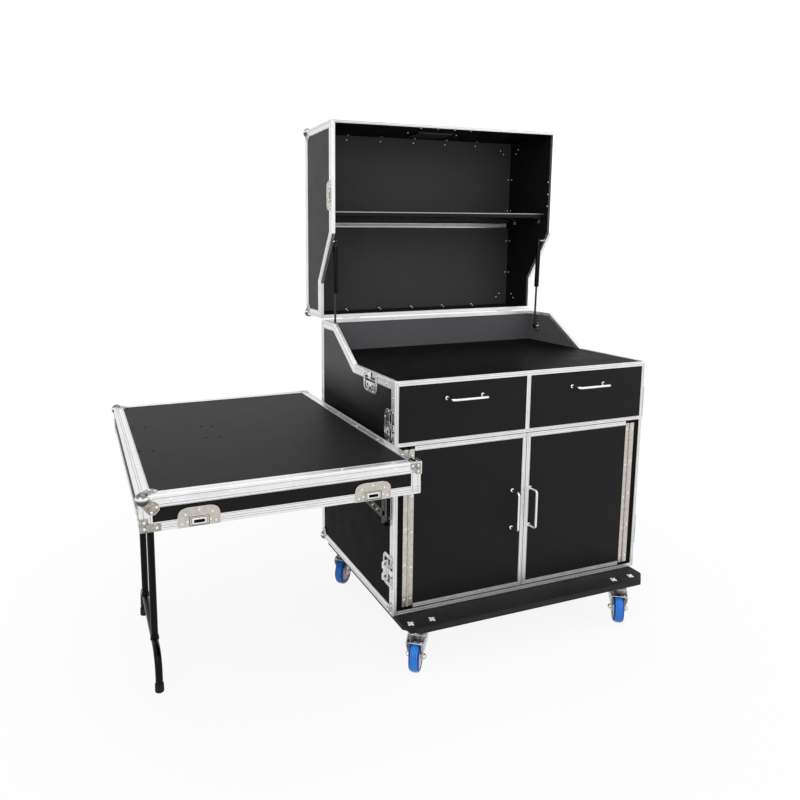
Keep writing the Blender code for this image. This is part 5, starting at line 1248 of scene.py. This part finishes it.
def build_lid_hinges():
    """The lid hinges' leaves, on the cabinet's back and under the lid."""
    half, hinge_in, leaf_low, leaf_top = 0.0345, 0.128, TOP_Z - 0.0395, TOP_Z - 0.0050
    y, z, lid_y = DEPTH + 0.002, LID_LOW - 0.002, LID_AXIS_Y + 0.005
    case_leaves, case_heads, lid_leaves, lid_heads = meshes(4)
    for middle in (hinge_in, WIDTH - hinge_in):
        x0, x1 = middle - half, middle + half
        add_box(case_leaves, at(x0, y - 0.0012, leaf_low), at(x1, y + 0.0006, leaf_top), 0.0005)
        add_box(lid_leaves, at(x0, lid_y, z - 0.0006), at(x1, lid_y + 0.0345, z + 0.0012), 0.0005)
        for u in (0.009, 0.0345, 0.060):
            for v in (0.009, 0.025):
                add_dome(case_heads, at(x0 + u, y + 0.0005, leaf_low + v), Y, *HEADS["lid_hinge"])
            for v in (0.012, 0.027):
                add_dome(lid_heads, at(x0 + u, lid_y + v, z - 0.0005), -Z, *HEADS["lid_hinge"])
    looks = ["nickel", "rivet"]
    piece("lid_hinge_case_leaves", [case_leaves, case_heads], looks, "cabinet", 35)
    piece("lid_hinge_lid_leaves", [lid_leaves, lid_heads], looks, "lid", 35)


def build_lid_handle():
    """The lifting handle's rim with its screws, and its bail with a ringed grip."""
    a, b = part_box("lid_handle_dish")
    face = move(((a.x + b.x) / 2, (a.y + b.y) / 2, b.z))
    half_w, half_h, cut = 0.098, 0.070, 0.014
    side_w, side_h = half_w - cut, half_h - cut
    points = [(-side_w, -half_h), (side_w, -half_h), (half_w, -side_h), (half_w, side_h)]
    points += [(-u, -v) for u, v in points]
    rim, screws = meshes(2)
    pan = [(pad(0.0735, -0.0455, 0.0455, 0.004), None)]
    flange = shrunk(rounded_outline(points, 0.003, 3), 0.0006)
    add_plate(rim, flange, -0.0008, 0.0004, face, 0.0004, pan)
    add_plate(rim, pad(0.0775, -0.0495, 0.0495, 0.006), 0.0002, 0.0010, face, 0.0003, pan)
    across, up = (-0.0817, -0.04275, 0.0, 0.04275, 0.0817), 0.058
    spots = [(u, v, 0.0004) for u in across for v in (-up, up) if u or v < 0]
    add_heads(screws, face, spots, *HEADS["bracket"])
    piece("lid_handle_rim", [rim, screws], ["zinc", "rivet"], "lid", 35)
    a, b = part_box("lid_handle_bail")
    radius, bend, pitch = 0.004, 0.012, 0.0075
    bar, grip = meshes(2)
    left, right = (Vector((x, b.y - 0.0002, (a.z + b.z) / 2)) for x in (a.x + radius, b.x - radius))
    out = Y * (a.y + radius - left.y)
    add_hoop(bar, left, right, out, bend, radius)
    ring = [(0.0041, -0.0028), (0.0056, -0.0028), (0.0060, -0.0018)]
    ring += mirrored(ring) + ring[:1]
    for k in range(-4, 5):
        add_turned(grip, ring, move((left + right) / 2 + out + X * pitch * k) @ QUARTER_Y, 18)
    piece("lid_handle_bar", [bar, grip], ["bright", "rubber"], "lid_bail", 40, ["lid_handle_bail"])


def build_swing_brackets():
    """Folding brackets: a sleeve on the pin, a slim post, an arm under the table and a pierced brace."""
    top, drop, near, far, thick = TABLE_RIM - 0.0003, 0.185, -0.013, -0.210, 0.003
    post, dot = near - 0.004, 0.0001
    sleeve = [(0.0034, 0.011), (0.0050, 0.010), (0.0055, 0.012)]
    sleeve += [(0.0055, 0.168), (0.0050, 0.170), (0.0034, 0.169)]
    runs = [
        ((near + 0.001, top - 0.010), (far, top - 0.010), 0.019, 9),
        ((post, top - drop + 0.004), (post, top - 0.014), 0.010, 0),
        ((post, top - drop + 0.030), (near - 0.140, top - 0.012), 0.018, 8),
    ]
    for name, y in BRACKETS.items():
        bars, dots = meshes(2)
        add_turned(bars, sleeve, move(at(-0.0085, y, top - drop)), 20)
        for (x0, z0), (x1, z1), width, holes in runs:
            a, b = at(x0, y, z0), at(x1, y, z1)
            along = (b - a).normalized()
            place = move(a - Y * thick / 2) @ axes(along, Y.cross(along), Y)
            length, half = (b - a).length, width / 2
            pitch = length / (holes + 1)
            gaps = [(round_hole(pitch * (k + 1), 0, 0.0040, 12), None) for k in range(holes)]
            add_plate(bars, rectangle(0, -half, length, half, half * 0.45), 0.0, thick, place, 0.0006, gaps)
            for k in range(holes - 1):
                for side, z in ((1, thick - dot), (-1, dot)):
                    add_dome(dots, place @ Vector((pitch * (k + 1.5), 0, z)), Y * side, *HEADS["brace"], 10, 2)
        # The bars' dark tone is painted shade under the table.
        parts, looks, nodes = [bars, dots], ["pierced", "rivet"], ["table_bracket_" + name]
        piece("swing_bracket_bars_" + name, parts, looks, "bracket_" + name, 40, nodes)
    screws = bmesh.new()
    for y in BRACKETS.values():
        for z in (TABLE_RIM - 0.024, TABLE_RIM - 0.095, TABLE_RIM - 0.166):
            for dy in (-0.0078, 0.0078):
                add_dome(screws, at(-0.0004, y + dy, z), -X, *HEADS["seat"], 12)
    piece("swing_seat_screws", screws, "rivet", "cabinet", 60)


# The camera as fitted to the photo: its size, focal length and principal point in pixels, place and angles
PHOTO, FOCAL, CENTRE_X, CENTRE_Y = 800, 672.789, 315.124, 338.660
EYE = (-0.8877, -1.7681, 1.3058)
YAW, PITCH, ROLL = 19.7721, -8.0568, -0.3335


def place_object(name, data):
    made = bpy.data.objects.new(name, data)
    bpy.context.scene.collection.objects.link(made)
    return made


def build_camera():
    data = bpy.data.cameras.new("camera")
    data.sensor_width = 36
    data.lens = FOCAL * data.sensor_width / PHOTO
    data.shift_x = (PHOTO / 2 - CENTRE_X) / PHOTO
    data.shift_y = (CENTRE_Y - PHOTO / 2) / PHOTO
    data.clip_start, data.clip_end = 0.05, 60
    camera = place_object("camera", data)
    yaw, pitch, roll = (math.radians(v) for v in (YAW, PITCH, ROLL))
    forward = Vector((math.sin(yaw) * math.cos(pitch), math.cos(yaw) * math.cos(pitch), math.sin(pitch)))
    right = Vector((math.cos(yaw), -math.sin(yaw), 0))
    up = right.cross(forward)
    tilted_right = right * math.cos(roll) + up * math.sin(roll)
    tilted_up = up * math.cos(roll) - right * math.sin(roll)
    camera.matrix_world = move(at(*EYE)) @ axes(tilted_right, tilted_up, -forward)
    bpy.context.scene.camera = camera


def area_light(name, place, target, size, power):
    data = bpy.data.lights.new(name, "AREA")
    data.size = size
    data.energy = power
    lamp = place_object(name, data)
    lamp.location = place
    lamp.rotation_mode = "QUATERNION"
    lamp.rotation_quaternion = (target - place).to_track_quat("-Z", "Y")


def seen_directly(tree):
    """1 for what the camera, reflections and clear materials see, 0 for light."""
    rays = add(tree, "LightPath").outputs
    seen = combined(tree, rays["Is Camera Ray"], rays["Is Glossy Ray"], "MAXIMUM")
    return combined(tree, seen, rays["Is Transmission Ray"], "MAXIMUM")


def mixed(tree, share, first, second, output):
    """The first shader turned to the second by the share, sent to the output."""
    mix = add(tree, "MixShader")
    for source, target in zip((share, first.outputs[0], second.outputs[0]), mix.inputs):
        tree.links.new(source, target)
    fill(tree, output, Surface=mix.outputs[0])


def build_stage():
    """Plain white surroundings that light the case more softly than they look, and three soft lights."""
    white = (1, 1, 1, 1)
    world = bpy.data.worlds.new("studio")
    bpy.context.scene.world = world
    world.use_nodes = True
    tree = world.node_tree
    tree.nodes.clear()
    soft, plain = (add(tree, "Background", Strength=strength, Color=white) for strength in (0.72, 1.0))
    mixed(tree, seen_directly(tree), soft, plain, add(tree, "OutputWorld"))
    build_floor(white)
    centre = at(0.2, 0.3, 0.8)
    area_light("key", at(-3.0, -3.0, 3.4), centre, 3.0, 55)
    area_light("fill", at(3.2, -2.8, 2.0), centre, 2.6, 16)
    area_light("top", at(0.2, 0.0, 4.2), centre, 3.4, 36)


def build_floor(white):
    """A white floor; what the camera and reflections see of it fades to plain white away from the case."""
    bm = bmesh.new()
    bmesh.ops.create_grid(bm, x_segments=1, y_segments=1, size=14)
    mesh = bpy.data.meshes.new("floor")
    bm.to_mesh(mesh)
    bm.free()
    floor = place_object("floor", mesh)
    floor.location = (0, 0, -0.0004)
    material, tree, shader = node_tree("studio_floor", 0.1)
    fill(tree, shader, Base_Color=(0.86, 0.86, 0.86, 1), Roughness=0.9)
    away = add(tree, "VectorMath")
    away.operation = "LENGTH"
    tree.links.new(coordinate(tree), away.inputs[0])
    fade = spread(tree, away.outputs["Value"], 0.90, 1.0, 0.9, 2.2)
    glow = add(tree, "Emission", Strength=1.0, Color=white)
    mixed(tree, combined(tree, seen_directly(tree), fade), shader, glow, tree.nodes["Material Output"])
    mesh.materials.append(material)


paint_nodes()
build_pulls()
build_table_leg()
build_wheels()
build_forks()
build_castor_tops()
build_case_edges()
build_door_detail()
build_hinges()
build_lid_edges()
build_cover_edges()
build_corners()
build_brackets()
build_latches()
build_hutch()
build_struts()
build_lid_hinges()
build_lid_handle()
build_swing_brackets()
build_stage()
build_camera()
bpy.context.scene.view_settings.view_transform = "Standard"
